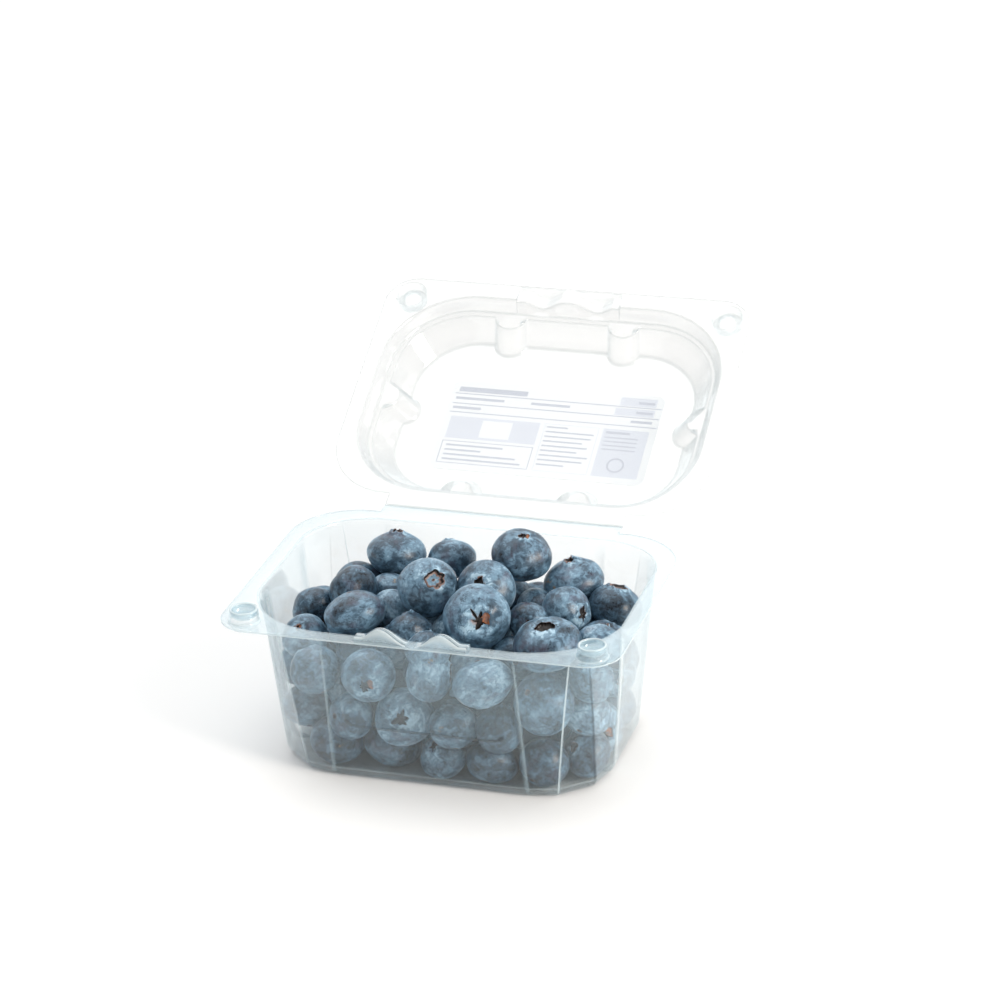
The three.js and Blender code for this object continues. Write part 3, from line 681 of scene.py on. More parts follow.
def make_tray(settings):
    """The tray, from its rim down to its floor, then its buttons and flange."""
    sheet = SheetMesh()
    floor = settings.thickness / MM
    folds, crease_shades = crease_marks(CREASE_HIGHLIGHT), crease_marks(CREASE_SHADE)
    rings = []
    for z, distance, height, fold in wall_levels(floor):
        points, flat = wall_ring(height, distance)
        x, y = points.T
        lift = HUMP_ON_WALL * hump(x) * (y < MOUTH.front + FRONT_BAND)
        lift *= smooth((height - HUMP_LOW) / HUMP_FADE)
        # Painted highlight and shade along the creases, and a painted shade line round the
        # pressed panel, fainter on the back wall.
        soft = np.where(y > 0, BACK_PAINTED_LINES, 1)
        line = np.exp(-(past_panel(x, height) / PANEL_SHADE_LINE) ** 2) * (np.abs(y) > LONG_WALL_Y)
        line *= smooth((SHADE_LINE_TOP - height) / SHADE_LINE_FADE) * (height > SHADE_LINE_LOW)
        rings.append(sheet.ring(points, z + lift, np.maximum(fold, folds * flat * soft),
                                np.maximum(crease_shades * flat, line) * soft))
    points, _ = wall_ring(FOOT_HEIGHT, -FOOT_TUCK)
    rings += [sheet.ring(points * share, floor + up, fold) for share, up, fold in FLOOR_RINGS]
    loft(sheet.bm, rings)
    sheet.close(rings[-1], floor + FLOOR_RISE)
    buttons = [button(sheet, x, BUTTON_RADIUS, RIM, RIM + BUTTON_HEIGHT)
               for x in (-BUTTON_X, BUTTON_X)]
    flange(sheet, rings[0], RIM, FRONT_X, buttons, 1)
    material = film_material("clear sheet", settings, settings.haze, settings.veil,
                             (settings.tint, settings.grazing), falloff=3.0, folds=1)
    return sheet.finish("clear_tray", 1, Matrix.Identity(4), settings.thickness, material)


# ---------------- lid

LID_STEPS = np.linspace(0, 1, 15)[1:]
FLUTE_OUTER = FLUTE_RADIUS + 0.45  # its radius on the outside of the sheet
FLUTE_REACH = math.sqrt(FLUTE_OUTER ** 2 - FLUTE_SINK ** 2)
FLUTE_PLACES = np.array((0, 0.25, 0.5, 0.7, 0.83, 0.91, 0.96, 0.985, 1.0, 1.02, 1.08))
AROUND_FLUTE = mirrored(FLUTE_PLACES * FLUTE_REACH)
LID_FRONT_X = mirrored([*np.arange(0, 16, 1.0), *AROUND_LATCH_END,
                        *(FLUTE_X + AROUND_FLUTE), 26.2])
LID_BACK_X = mirrored([0, 5, 9, *(FLUTE_X + AROUND_FLUTE), 27.5])
LID_SIDE_MIDDLE = (LID_STEP.front + LID_STEP.back) / 2
LID_SIDE_Y = np.unique([*(LID_SIDE_MIDDLE + AROUND_FLUTE), -8.0, 12.5])
LID_PAINTED_SHADE, WALL_PAINTED_SHADE = 0.07, 0.085  # painted shade: how much darker the lid's flange and walls are drawn
PAINTED_SHADE_EDGE = 0.1  # how near to its ends the wall's painted shade stops
LID_MILK = 0.3  # how milky the lid's humps are, against the tray's
# Share of a hump's height that the dome's foot takes up, how far below the step that ends,
# and how softly.
LID_HUMP, LID_HUMP_TOP, LID_HUMP_FADE = 0.95, 0.2, 4.4
# Rows up the lower and the upper face of the dome: share out, share up, and painted fold
# highlight.
LOWER_FACE = ((0.1, 0.14, 0.1), (0.5, 0.5, 0), (0.9, 0.92, 0.1))
UPPER_FACE = ((0.06, 0.08, 0.1), (0.35, 0.35, 0), (0.7, 0.7, 0), (0.96, 0.96, 0.1))


def flute_depth(along):
    """How far a half-round flute presses in, at a distance from its middle."""
    reach = np.sqrt(np.maximum(FLUTE_OUTER ** 2 - along ** 2, 0))
    return np.maximum(reach - FLUTE_SINK, 0)


def lid_ring(edge, fluted):
    """One level of the dome, with its six flutes pressed in if it is fluted."""
    points = outline(edge, (0, 90), (LID_STEPS,), 1, LID_FRONT_X, LID_SIDE_Y, LID_BACK_X)
    if fluted:
        x, y = points.T
        across = flute_depth(np.abs(x) - FLUTE_X)
        along = flute_depth(y - LID_SIDE_MIDDLE)
        on_front, on_back = np.isclose(y, edge.front), np.isclose(y, edge.back)
        on_side = np.isclose(np.abs(x), edge.half)
        points[:, 1] += np.where(on_front, across, 0) - np.where(on_back, across, 0)
        points[:, 0] -= np.where(on_side, np.sign(x) * along, 0)
    return points


def dome_levels(step, top):
    """Outline, height and painted fold highlight of each ring of the dome, from the flange up."""
    ledge = grown(LID_STEP, STEP_LEDGE)
    shoulder = grown(LID_TOP, 1)
    return (
        (grown(LID_MOUTH, 0.8), LID_BASE, 0.0),
        (grown(LID_MOUTH, 0.4), LID_BASE + 0.08, 0.3),
        (grown(LID_MOUTH, 0.1), LID_BASE + 0.3, 0.6),
        *((between(LID_MOUTH, ledge, out), lerp(LID_BASE, step - STEP_RISE, up), fold)
          for out, up, fold in LOWER_FACE),
        (grown(ledge, -0.15), step - STEP_RISE * 0.9, 0.7),
        (between(ledge, LID_STEP, 0.3), step - STEP_RISE * 0.62, 0.1),
        (between(ledge, LID_STEP, 0.8), step - STEP_RISE * 0.18, 0.1),
        (grown(LID_STEP, 0.05), step, 0.6),
        *((between(LID_STEP, shoulder, out), lerp(step, top - STEP_RISE, up), fold)
          for out, up, fold in UPPER_FACE),
        (grown(LID_TOP, 0.7), top - STEP_RISE * 0.45, 0.6),
        (LID_TOP, top - 0.08, 0.5),
        (grown(LID_TOP, -0.9), top, 0.05),
    )


def make_lid(settings, turn):
    """The lid, modelled shut and then turned open."""
    sheet = SheetMesh()
    step, top = LID_BASE + STEP_HEIGHT, LID_BASE + LID_HEIGHT
    rings = []
    for edge, z, fold in dome_levels(step, top):
        points = lid_ring(edge, z > step - STEP_RISE / 2)
        lift = LID_HUMP * hump(points[:, 0]) * (points[:, 1] < LID_STEP.front + 1)
        lift *= smooth((step - LID_HUMP_TOP - z) / LID_HUMP_FADE)
        # Painted shade: the lid's flange and walls are drawn darker than its top.
        tone = LID_PAINTED_SHADE if z < LID_BASE + PAINTED_SHADE_EDGE else WALL_PAINTED_SHADE * (z < top - PAINTED_SHADE_EDGE)
        rings.append(sheet.ring(points, z + lift, fold, tone))
    loft(sheet.bm, rings)
    sheet.plate([rings[-1]])
    buttons = [button(sheet, x, BUTTON_RADIUS + GAP, LID_BASE, RIM + BUTTON_HEIGHT + GAP,
                      2 * GAP)
               for x in (-BUTTON_X, BUTTON_X)]
    flange(sheet, rings[0], LID_BASE, LID_FRONT_X, buttons, LID_MILK, LID_PAINTED_SHADE)
    return sheet.finish("clear_lid", -1, turn, settings.thickness, lid_material(settings))


def lid_turn():
    """Turns a point of the shut lid, in mm, to where the open lid has it."""
    pivot = Matrix.Translation((0, HINGE_Y, HINGE_Z))
    return pivot @ Matrix.Rotation(-LID_OPEN, 4, "X") @ pivot.inverted()


# ---------------- film hinge and label

CREASE_RADIUS, CREASE_SIDES = 0.3, 10
CREASE_END = 0.6  # share of the radius left at an end


def make_crease(settings):
    """The bead of folded sheet along the hinge axis."""
    turns = np.linspace(0, 2 * math.pi, CREASE_SIDES, endpoint=False)
    inner = HINGE_HALF - CREASE_RADIUS
    rings = []
    for x, share in ((-HINGE_HALF, CREASE_END), (-inner, 1), (inner, 1),
                     (HINGE_HALF, CREASE_END)):
        radius = CREASE_RADIUS * share
        rings.append([(x, HINGE_Y + radius * math.cos(a), HINGE_Z + radius * math.sin(a))
                      for a in turns])
    crease = solid("hinge_crease", rings, lid_material(settings))
    crease.data.shade_smooth()
    return crease


def make_label(settings, turn):
    """The label, whose "place" attribute holds x, y and the side, for the print."""
    edge = Edge(LABEL_WIDTH / 2, -LABEL_DEPTH / 2, LABEL_DEPTH / 2, LABEL_CORNER, LABEL_CORNER)
    points = outline(edge, (0, 90), (np.linspace(0, 1, 9)[1:],), 1, (), np.array(()), ())
    bottom = LID_BASE + LID_HEIGHT + CAD_SHEET + GAP
    rings = [[turn @ Vector((x + LABEL_X, y + LABEL_Y, z)) for x, y in points]
             for z in (bottom, bottom + LABEL_THICKNESS)]
    label = solid("paper_label", rings, paper_material(settings))
    store(label.data, "place", [(x, y, side) for side in (0, 1) for x, y in points])
    return label


# ---------------- materials


class Tree:
    """Adds nodes to a node tree, with their inputs set or linked."""

    def __init__(self, tree):
        self.tree = tree
        tree.nodes.clear()

    def add(self, kind, inputs=None, **settings):
        """A new node. Its inputs are sockets to link, or values, which need no alpha."""
        node = self.tree.nodes.new(kind)
        for key, value in settings.items():
            setattr(node, key, value)
        for key, value in (inputs or {}).items():
            socket = node.inputs[key]
            if isinstance(value, bpy.types.NodeSocket):
                self.tree.links.new(value, socket)
            else:
                socket.default_value = (*value, 1) if socket.type == "RGBA" else value
        return node

    def math(self, operation, a, b=0.5, c=0.0, clamp=False):
        return self.add("ShaderNodeMath", {0: a, 1: b, 2: c}, operation=operation,
                        use_clamp=clamp).outputs[0]

    def times(self, a, b):
        return self.math("MULTIPLY", a, b)

    def times_plus(self, a, b, c, clamp=False):
        """a times b, plus c."""
        return self.math("MULTIPLY_ADD", a, b, c, clamp)

    def mix(self, factor, a, b):
        return self.add("ShaderNodeMix", {0: factor, 6: a, 7: b}, data_type="RGBA").outputs[2]

    def ramp(self, factor, low, high, first=0.0, last=1.0):
        """The first value below low and the last one above high, with a smooth rise between."""
        return self.add("ShaderNodeMapRange", {0: factor, 1: low, 2: high, 3: first, 4: last},
                        interpolation_type="SMOOTHSTEP").outputs[0]

    def split(self, vector):
        """The three parts of a vector."""
        return self.add("ShaderNodeSeparateXYZ", {0: vector}).outputs


class Nodes(Tree):
    """Builds a material's node tree."""

    def __init__(self, name):
        self.material = bpy.data.materials.new(name)
        self.material.use_nodes = True
        super().__init__(self.material.node_tree)

    def attribute(self, name, part="Vector"):
        return self.add("ShaderNodeAttribute", attribute_name=name).outputs[part]

    def place(self):
        return self.add("ShaderNodeTexCoord").outputs["Object"]

    def facing(self):
        """0 where the surface is seen head on, and 1 where it is seen edge on."""
        return self.add("ShaderNodeLayerWeight", {"Blend": 0.5}).outputs["Facing"]

    def shader(self, kind, **inputs):
        """A shader whose inputs are named with _ for each space."""
        return self.add(f"ShaderNode{kind}", {
            key.replace("_", " "): value for key, value in inputs.items()}).outputs[0]

    def output(self, shader):
        self.add("ShaderNodeOutputMaterial", {"Surface": shader})
        return self.material


BEND_SHADE_DEPTH = 0.7  # how much of the bend tint, a painted shade, a full fold takes
SHEET_GLOSS, SHEET_ROUGHNESS = (0.97, 0.985, 0.99), 0.06


def film_material(name, settings, haze, veil, tints, falloff, folds):
    """Clear sheet: see-through with a faint veil, with painted highlight and shade along folds
    and painted shade along lines.

    Its two tints are those of a face seen head on and edge on. The veil, in part a painted
    reflection of the floor, thins out towards the foot, where that floor lies in shade."""
    if name in bpy.data.materials:
        return bpy.data.materials[name]
    n = Nodes(name)
    fold, dark, milk = n.split(n.attribute("marks"))
    fold = n.times(fold, folds)
    facing = n.facing()
    tint = n.mix(n.math("POWER", facing, falloff), *tints)
    tint = n.mix(n.times(fold, BEND_SHADE_DEPTH), tint, settings.bend)
    tint = n.mix(dark, tint, settings.line)
    veiled = n.mix(milk, n.mix(fold, veil, settings.fold), settings.milk)
    # Painted reflection: the veil grows with height, as the walls reflect the bright floor, which
    # is shaded near the foot.
    painted_reflection_rise = n.ramp(n.split(n.place())[2], VEIL_FROM * MM, VEIL_TO * MM)
    scatter = n.times_plus(painted_reflection_rise, haze * (1 - VEIL_AT_FOOT), haze * VEIL_AT_FOOT)
    scatter = n.times_plus(fold, FOLD_HIGHLIGHT_SCATTER, scatter)
    scatter = n.times_plus(milk, MILK_SCATTER, scatter, clamp=True)
    scatter = n.times(scatter, n.math("SUBTRACT", 1.0, dark))
    clear = n.shader("BsdfTransparent", Color=tint)
    milky = n.shader("BsdfDiffuse", Color=veiled)
    gloss = n.shader("BsdfAnisotropic", Color=SHEET_GLOSS, Roughness=SHEET_ROUGHNESS)
    body = n.add("ShaderNodeMixShader", {0: scatter, 1: clear, 2: milky}).outputs[0]
    mirror = n.times_plus(n.math("POWER", facing, SHINE_POWER), SHINE, HEAD_ON_SHINE)
    return n.output(n.add("ShaderNodeMixShader", {0: mirror, 1: body, 2: gloss}).outputs[0])


def lid_material(settings):
    """The sheet of the lid: clearer than the tray's, with fainter folds."""
    return film_material("clear lid sheet", settings, settings.clearness, settings.lid_veil,
                         (settings.lid_tint, settings.lid_grazing), falloff=2.0, folds=0.5)


def paper_material(settings):
    """Paper with plain printed fields, rules and bars, most of them on the side towards the
    berries."""
    n = Nodes("label paper")
    x, y, side = n.split(n.attribute("place"))
    grain = n.add("ShaderNodeTexNoise", {"Vector": n.place(), "Scale": 900.0}).outputs["Fac"]
    colour = n.mix(n.times(grain, 0.05), settings.paper, settings.field)

    def inside(left, near, right, far):
        across = n.math("COMPARE", x, (left + right) / 2, (right - left) / 2)
        along = n.math("COMPARE", y, (near + far) / 2, (far - near) / 2)
        return n.times(across, along)

    ring_x, ring_y, radius, half = PRINT_RING
    far = n.math("SQRT", n.math("ADD", n.math("POWER", n.math("SUBTRACT", x, ring_x), 2.0),
                                n.math("POWER", n.math("SUBTRACT", y, ring_y), 2.0)))
    ring = n.math("COMPARE", far, radius, half)
    for boxes, tone, first, face in (
            (PRINT_FIELDS, settings.field, 0.0, 0), (PRINT_BLANKS, settings.paper, 0.0, 0),
            (PRINT_BARS, settings.ink, ring, 0), (PRINT_OUTSIDE, settings.field, 0.0, 1),
            (PRINT_OUTSIDE_BARS, settings.ink, 0.0, 1)):
        mask = first
        for box in boxes:
            mask = n.math("MAXIMUM", mask, inside(*box))
        colour = n.mix(n.times(mask, n.math("COMPARE", side, face, 0.1)), colour, tone)
    return n.output(n.shader("BsdfPrincipled", Base_Color=colour, Roughness=0.5))


SKIN_SHIFT = 37.0  # sets one berry's pattern off from another's


def skin_material(settings):
    """Berry skin under a dappled, rubbed bloom with a painted sheen where it is seen edge on,
    with dry crowns and a few golden spots.
    """
    n = Nodes("berry skin")
    local = n.attribute("local")
    dry, pale, flesh = n.split(n.attribute("marks"))
    shift = n.times(n.attribute("draw", "Fac"), SKIN_SHIFT)

    def noise(scale, detail, roughness=0.55, distortion=0.0):
        return n.add("ShaderNodeTexNoise", {
            "Vector": local, "W": shift, "Scale": scale, "Detail": detail,
            "Roughness": roughness, "Distortion": distortion},
            noise_dimensions="4D").outputs["Fac"]

    def weigh(*pairs):
        total = 0.0
        for value, weight in pairs:
            total = n.times_plus(value, weight, total)
        return total

    patches = n.ramp(noise(1.2, 3.0, 0.55, 0.6), 0.38, 0.62)
    mottle = n.ramp(noise(3.3, 4.0, 0.62, 1.0), 0.40, 0.60)
    dapple = n.ramp(noise(8.5, 3.0, 0.6, 0.8), 0.42, 0.60)
    pits = n.ramp(noise(15.0, 2.0, 0.5, 0.4), 0.60, 0.68)
    line = n.math("ABSOLUTE", n.math("SUBTRACT", noise(2.4, 3.0, 0.5, 1.6), 0.5))
    rubs = n.times(n.ramp(line, 0.004, 0.022, 1.0, 0.0), n.ramp(noise(1.9, 2.0), 0.52, 0.60))
    # The facing term is a painted sheen: the bloom is drawn paler where the skin is seen edge on.
    bloom = weigh((patches, 0.36), (mottle, 0.26), (dapple, 0.11),
                  (n.attribute("tone", "Fac"), 0.40), (pits, -0.14), (rubs, -0.30),
                  (n.math("POWER", n.facing(), 4.0), 0.24))
    bloom = n.times_plus(n.times(pale, n.math("ADD", mottle, 0.6)), 0.26, bloom, clamp=True)
    skin = n.mix(n.ramp(bloom, 0.0, 0.42), settings.skin, settings.slate)
    skin = n.mix(n.ramp(bloom, 0.34, 0.80), skin, settings.bloom)
    skin = n.mix(n.ramp(bloom, 0.74, 1.05), skin, settings.frost)
    skin = n.mix(n.times(n.ramp(noise(1.7, 2.0), 0.54, 0.68), 0.42), skin, settings.ripe)
    spots = n.times(n.ramp(noise(1.5, 1.0), 0.70, 0.76), n.ramp(noise(11.0, 3.0), 0.46, 0.58))
    skin = n.mix(n.times(spots, 0.8), skin, settings.gold)
    crust = n.mix(n.ramp(dry, 0.55, 0.95), settings.scar, settings.calyx)
    crust = n.mix(n.ramp(noise(7.0, 4.0, 0.6, 1.0), 0.50, 0.66), crust, settings.calyx)
    edge = n.times_plus(n.math("SUBTRACT", mottle, 0.5), 0.3, dry)
    colour = n.mix(n.ramp(edge, 0.25, 0.5), skin, crust)
    torn = n.mix(n.ramp(noise(9.0, 3.0), 0.40, 0.60), settings.scar, settings.flesh)
    colour = n.mix(n.ramp(flesh, 0.35, 0.6), colour, torn)
    height = weigh((mottle, 0.6), (dapple, 0.4), (rubs, -0.5))
    bump = n.add("ShaderNodeBump", {"Height": height, "Strength": 0.12, "Distance": 0.0005})
    return n.output(n.shader(
        "BsdfPrincipled", Base_Color=colour, Roughness=n.times_plus(bloom, 0.14, 0.27),
        Normal=bump.outputs[0], Specular_IOR_Level=0.5))


def plain_material(name, colour, roughness):
    """One even, dull colour, for the floor and what hardly shows."""
    n = Nodes(name)
    return n.output(n.shader("BsdfPrincipled", Base_Color=colour, Roughness=roughness,
                             Specular_IOR_Level=0.1))


# ---------------- berries


# Each kind of crown: radius of its rim, how far its opening reaches between and along
# the five arms of the star, the least that an arm has of that, how high the rim stands,
# how deep and how pale its floor is, how ragged it is, how dry its rim is, and how much
# flesh shows where it is torn.
Crown = namedtuple("Crown", "radius inner outer least lift dip floor ragged dry torn")
CROWNS = {
    RING: Crown(0.42, 0.76, 0.97, 0.60, 0.060, 0.08, 0.85, 0.20, 0.8, 0.0),
    OPEN: Crown(0.38, 0.50, 0.98, 0.50, 0.060, 0.14, 0.00, 0.30, 0.4, 0.0),
    STAR: Crown(0.42, 0.30, 0.98, 0.55, 0.040, 0.07, 0.10, 0.22, 0.3, 0.0),
    CLOSED: Crown(0.27, 0.40, 0.95, 0.30, 0.120, 0.06, 0.00, 0.35, 1.0, 0.0),
    NICK: Crown(0.24, 0.25, 0.95, 0.30, 0.030, 0.08, 0.00, 0.40, 0.5, 0.8),
    TORN: Crown(0.46, 0.20, 1.00, 0.35, 0.030, 0.12, 0.00, 0.45, 0.3, 0.8),
}
LOBES, VARIANTS = 5, 3
FINE, COARSE = (60, 27), (30, 14)  # faces round a berry and down its side
SHOULDER_DENT, SHOULDER_WIDTH = 0.022, 0.4


def crown_shape(crown, draw, angle):
    """How a crown runs round a berry's axis.

    Returns the reach of its opening, how high its rim stands and how dry that is, how far it
    is torn, and the angles that its arms follow."""
    warped = angle + 0.45 * np.sin(angle + 6 * draw[0]) + 0.2 * np.sin(3 * angle + 6 * draw[1])
    place = warped * LOBES / (2 * math.pi)
    lobe = np.floor(place).astype(int) % LOBES
    arm = 1 - np.abs((place % 1) - 0.5) * 2
    reach = lerp(crown.least, 1, np.array(draw[2:7])[lobe] ** 1.5)
    jag = 1 + crown.ragged * (np.sin(7 * angle + 6 * draw[7]) * 0.4
                              + np.sin(2 * angle + 6 * draw[8]) * 0.6)
    opening = crown.radius * lerp(crown.inner, crown.outer * reach, arm ** 1.5) * jag
    torn = crown.torn * smooth((np.cos(angle) - 0.7) / 0.12)
    opening = np.maximum(opening, crown.radius * torn * (0.88 + 0.1 * np.sin(5 * angle)))
    opening = np.clip(opening, 0.05 * crown.radius, crown.radius * 0.98)
    stand = crown.lift * (1 - 0.7 * arm) * (0.4 + 1.2 * np.array(draw[9:14])[lobe])
    dry = crown.dry * np.clip(0.6 + 0.7 * np.sin(angle + 6 * draw[14])
                              + 0.4 * np.sin(4 * angle + 6 * draw[15]), 0, 1)
    return opening, stand, dry, torn, warped


def berry_mesh(kind, variant, around, down):
    """One berry of unit radius with its crown at +Z and the torn side of that at +X.

    Its marks are how dry and brown the skin is, how pale, and how far torn to the flesh."""
    crown = CROWNS[kind]
    random = make_random(101 * kind + 37 * variant + 5)
    draw = [next(random) for _ in range(30)][10:]
    angle = np.linspace(0, 2 * math.pi, around, endpoint=False)
    opening, stand, dry, torn, warped = crown_shape(crown, draw, angle)
    rim_height = math.sqrt(1 - crown.radius ** 2)
    floor = rim_height - crown.dip
    within = lerp(floor, rim_height - 0.01, torn * 0.8)
    brown = 1 - crown.floor
    rows = []

    def row(radius, height, dry=0.0, pale=0.0, flesh=0.0):
        rows.append([np.broadcast_to(value, around)
                     for value in (radius, height, dry, pale, flesh)])

    row(opening * 0.08, floor + 0.02, 1.0)
    row(opening * 0.2, floor, lerp(brown, 1, 0.2), crown.floor)
    row(opening * 0.5, within, brown, crown.floor, torn)
    row(opening * 0.72, within + 0.01, lerp(brown, 1, 0.5), crown.floor * 0.6, torn)
    row(opening * 0.93, within + 0.03 * (1 - torn), 1.0, 0.0, torn)
    row(opening * 0.99, rim_height + stand * 0.6, 1.0, 0.0, torn * 0.6)
    row(opening + 0.008, rim_height + stand * 0.95 + 0.01, dry, 0.5)
    row(lerp(opening, crown.radius, 0.3) + 0.012, rim_height + stand + 0.012, dry * 0.7, 0.7)
    row(lerp(opening, crown.radius, 0.7) + 0.01, rim_height + stand * 0.9 + 0.01, 0.0, 0.8)
    row(crown.radius * 1.04, rim_height + stand * 0.5 + 0.004, 0.0, 0.8)
    first = math.asin(crown.radius * 1.15)
    for polar in np.linspace(first, math.pi - 0.13, down):
        dent = SHOULDER_DENT * np.cos(LOBES * warped)
        swell = 1 + dent * math.exp(-((polar - first) / SHOULDER_WIDTH) ** 2)
        row(math.sin(polar) * swell, math.cos(polar) * swell, 0.0, 0.6 * (polar == first))
    row(0.09, -0.975, 0.6)
    row(0.06, -0.955, 1.0)

    radius, height, *marks = (np.array(value) for value in zip(*rows))
    verts = np.stack((radius * np.cos(angle), radius * np.sin(angle), height), axis=2)
    verts = np.vstack((verts.reshape(-1, 3), (0, 0, floor + 0.025), (0, 0, -0.95)))
    marks = np.vstack((np.stack(marks, axis=2).reshape(-1, 3), (1, 0, 0), (1, 0, 0)))
    faces = []
    last = (len(rows) - 1) * around
    for i in range(around):
        j = (i + 1) % around
        for a in range(0, last, around):
            faces.append((a + i, a + around + i, a + around + j, a + j))
        faces.append((last + around, i, j))
        faces.append((last + around + 1, last + j, last + i))
    mesh = bpy.data.meshes.new(f"berry_{kind}_{variant}")
    mesh.from_pydata(verts.tolist(), [], faces)
    mesh.shade_smooth()
    store(mesh, "marks", marks)
    store(mesh, "local", verts)
    return mesh


def depth_inside(x, y, z):
    """How far a point lies inside the tray's inner faces, and the way back in."""
    t = min(max((z - FOOT_HEIGHT) / (RIM - FOOT_HEIGHT), 0), WALL_GOES_ON)
    edge = between(FOOT, MOUTH, t)
    side_x, side_y = math.copysign(1, x), math.copysign(1, y)
    radius = edge.front_radius if side_y < 0 else edge.back_radius
    past_x = abs(x) - (edge.half - radius)
    past_y = abs(y) - (edge.back - radius)
    if past_x > 0 and past_y > 0:
        far = math.hypot(past_x, past_y)
        return radius * ROUND_SLACK - far, -side_x * past_x / far, -side_y * past_y / far
    to_side = edge.half - abs(x)
    to_end = edge.back - abs(y)
    if to_side < to_end:
        return to_side, -side_x, 0
    return to_end, 0, -side_y


class Berry:
    """One berry of the heap, in mm."""

    def __init__(self, x, y, z, width, height, crown, kind=None, bloom=None):
        self.place = np.array((x, y, z), float)
        self.width, self.height = width, height
        self.crown = Vector(crown)
        self.fixed = kind is not None
        self.kind, self.bloom = kind, bloom

    def size(self):
        """Half of its mean diameter."""
        return (self.width + self.height) / 4


def make_random(seed):
    """A small repeatable random generator, from 0 to 1."""
    state = seed
    while True:
        state = (state * 16807) % 2147483647
        yield state / 2147483647


def fill_top(y):
    """The highest that the middle of a fill berry may lie: the heap falls off to the back."""
    (front_y, front_z), (back_y, back_z) = FILL_TOP_FRONT, FILL_TOP_BACK
    return lerp(front_z, back_z, min(max((y - front_y) / (back_y - front_y), 0), 1))


def stations(span, shift):
    """Places along a row, set off by a share of the step between them."""
    first, last, step = span
    place = first + shift * step
    while place <= last:
        yield place
        place += step


def fill_berries(shown):
    """Rows of berries to fill what the shown ones leave free."""
    random = make_random(HEAP_SEED)
    fill = []
    for layer, level in enumerate(FILL_LAYERS):
        shift = layer % 2 / 2
        for y, x in product(stations(FILL_Y, shift), stations(FILL_X, shift)):
            draw = [next(random) for _ in range(8)]
            width = lerp(*FILL_WIDTH, draw[3])
            berry = Berry(
                x + (draw[0] - 0.5) * FILL_JITTER, y + (draw[1] - 0.5) * FILL_JITTER,
                level + (draw[2] - 0.5) * FILL_JITTER, width,
                width * lerp(*FILL_SQUASH, draw[4]),
                (draw[5] - 0.5, draw[6] - 0.5, draw[7] - 0.4))
            near = any(np.linalg.norm(berry.place - other.place)
                       < CROWDING * (berry.size() + other.size()) for other in shown)
            high = berry.place[2] > fill_top(berry.place[1]) + berry.height / 3
            if not near and not high:
                fill.append(berry)
    return fill


def settle(berries):
    """Pushes overlapping berries apart, and back inside the walls, and returns those that fit."""
    places = [berry.place.tolist() for berry in berries]
    sizes = [berry.size() for berry in berries]
    loose = [not berry.fixed for berry in berries]
    for _ in range(SETTLE_ROUNDS):
        for i, j in combinations(range(len(berries)), 2):
            if not (loose[i] or loose[j]):
                continue
            gap = [a - b for a, b in zip(places[i], places[j])]
            far = math.hypot(*gap)
            push = (sizes[i] + sizes[j] - far) / far * (0.5 if loose[i] and loose[j] else 1)
            if push > 0 and loose[i]:
                places[i] = [a + part * push for a, part in zip(places[i], gap)]
            if push > 0 and loose[j]:
                places[j] = [b - part * push for b, part in zip(places[j], gap)]
        for i, place in enumerate(places):
            if loose[i]:
                places[i] = kept_inside(place, sizes[i])
    kept = []
    for berry, place in zip(berries, places):
        berry.place = np.array(place)
        squeezed = any(berry.size() + other.size() - SQUEEZE
                       > np.linalg.norm(berry.place - other.place) for other in kept)
        if berry.fixed or not squeezed:
            kept.append(berry)
    return kept


def kept_inside(place, size):
    """The place moved clear of the wall, the floor and the top of the heap."""
    x, y, z = place
    need = size + GAP
    depth, way_x, way_y = depth_inside(x, y, z)
    if depth < need:
        x += way_x * (need - depth)
        y += way_y * (need - depth)
    return [x, y, min(max(z, CAD_SHEET + need), fill_top(y))]


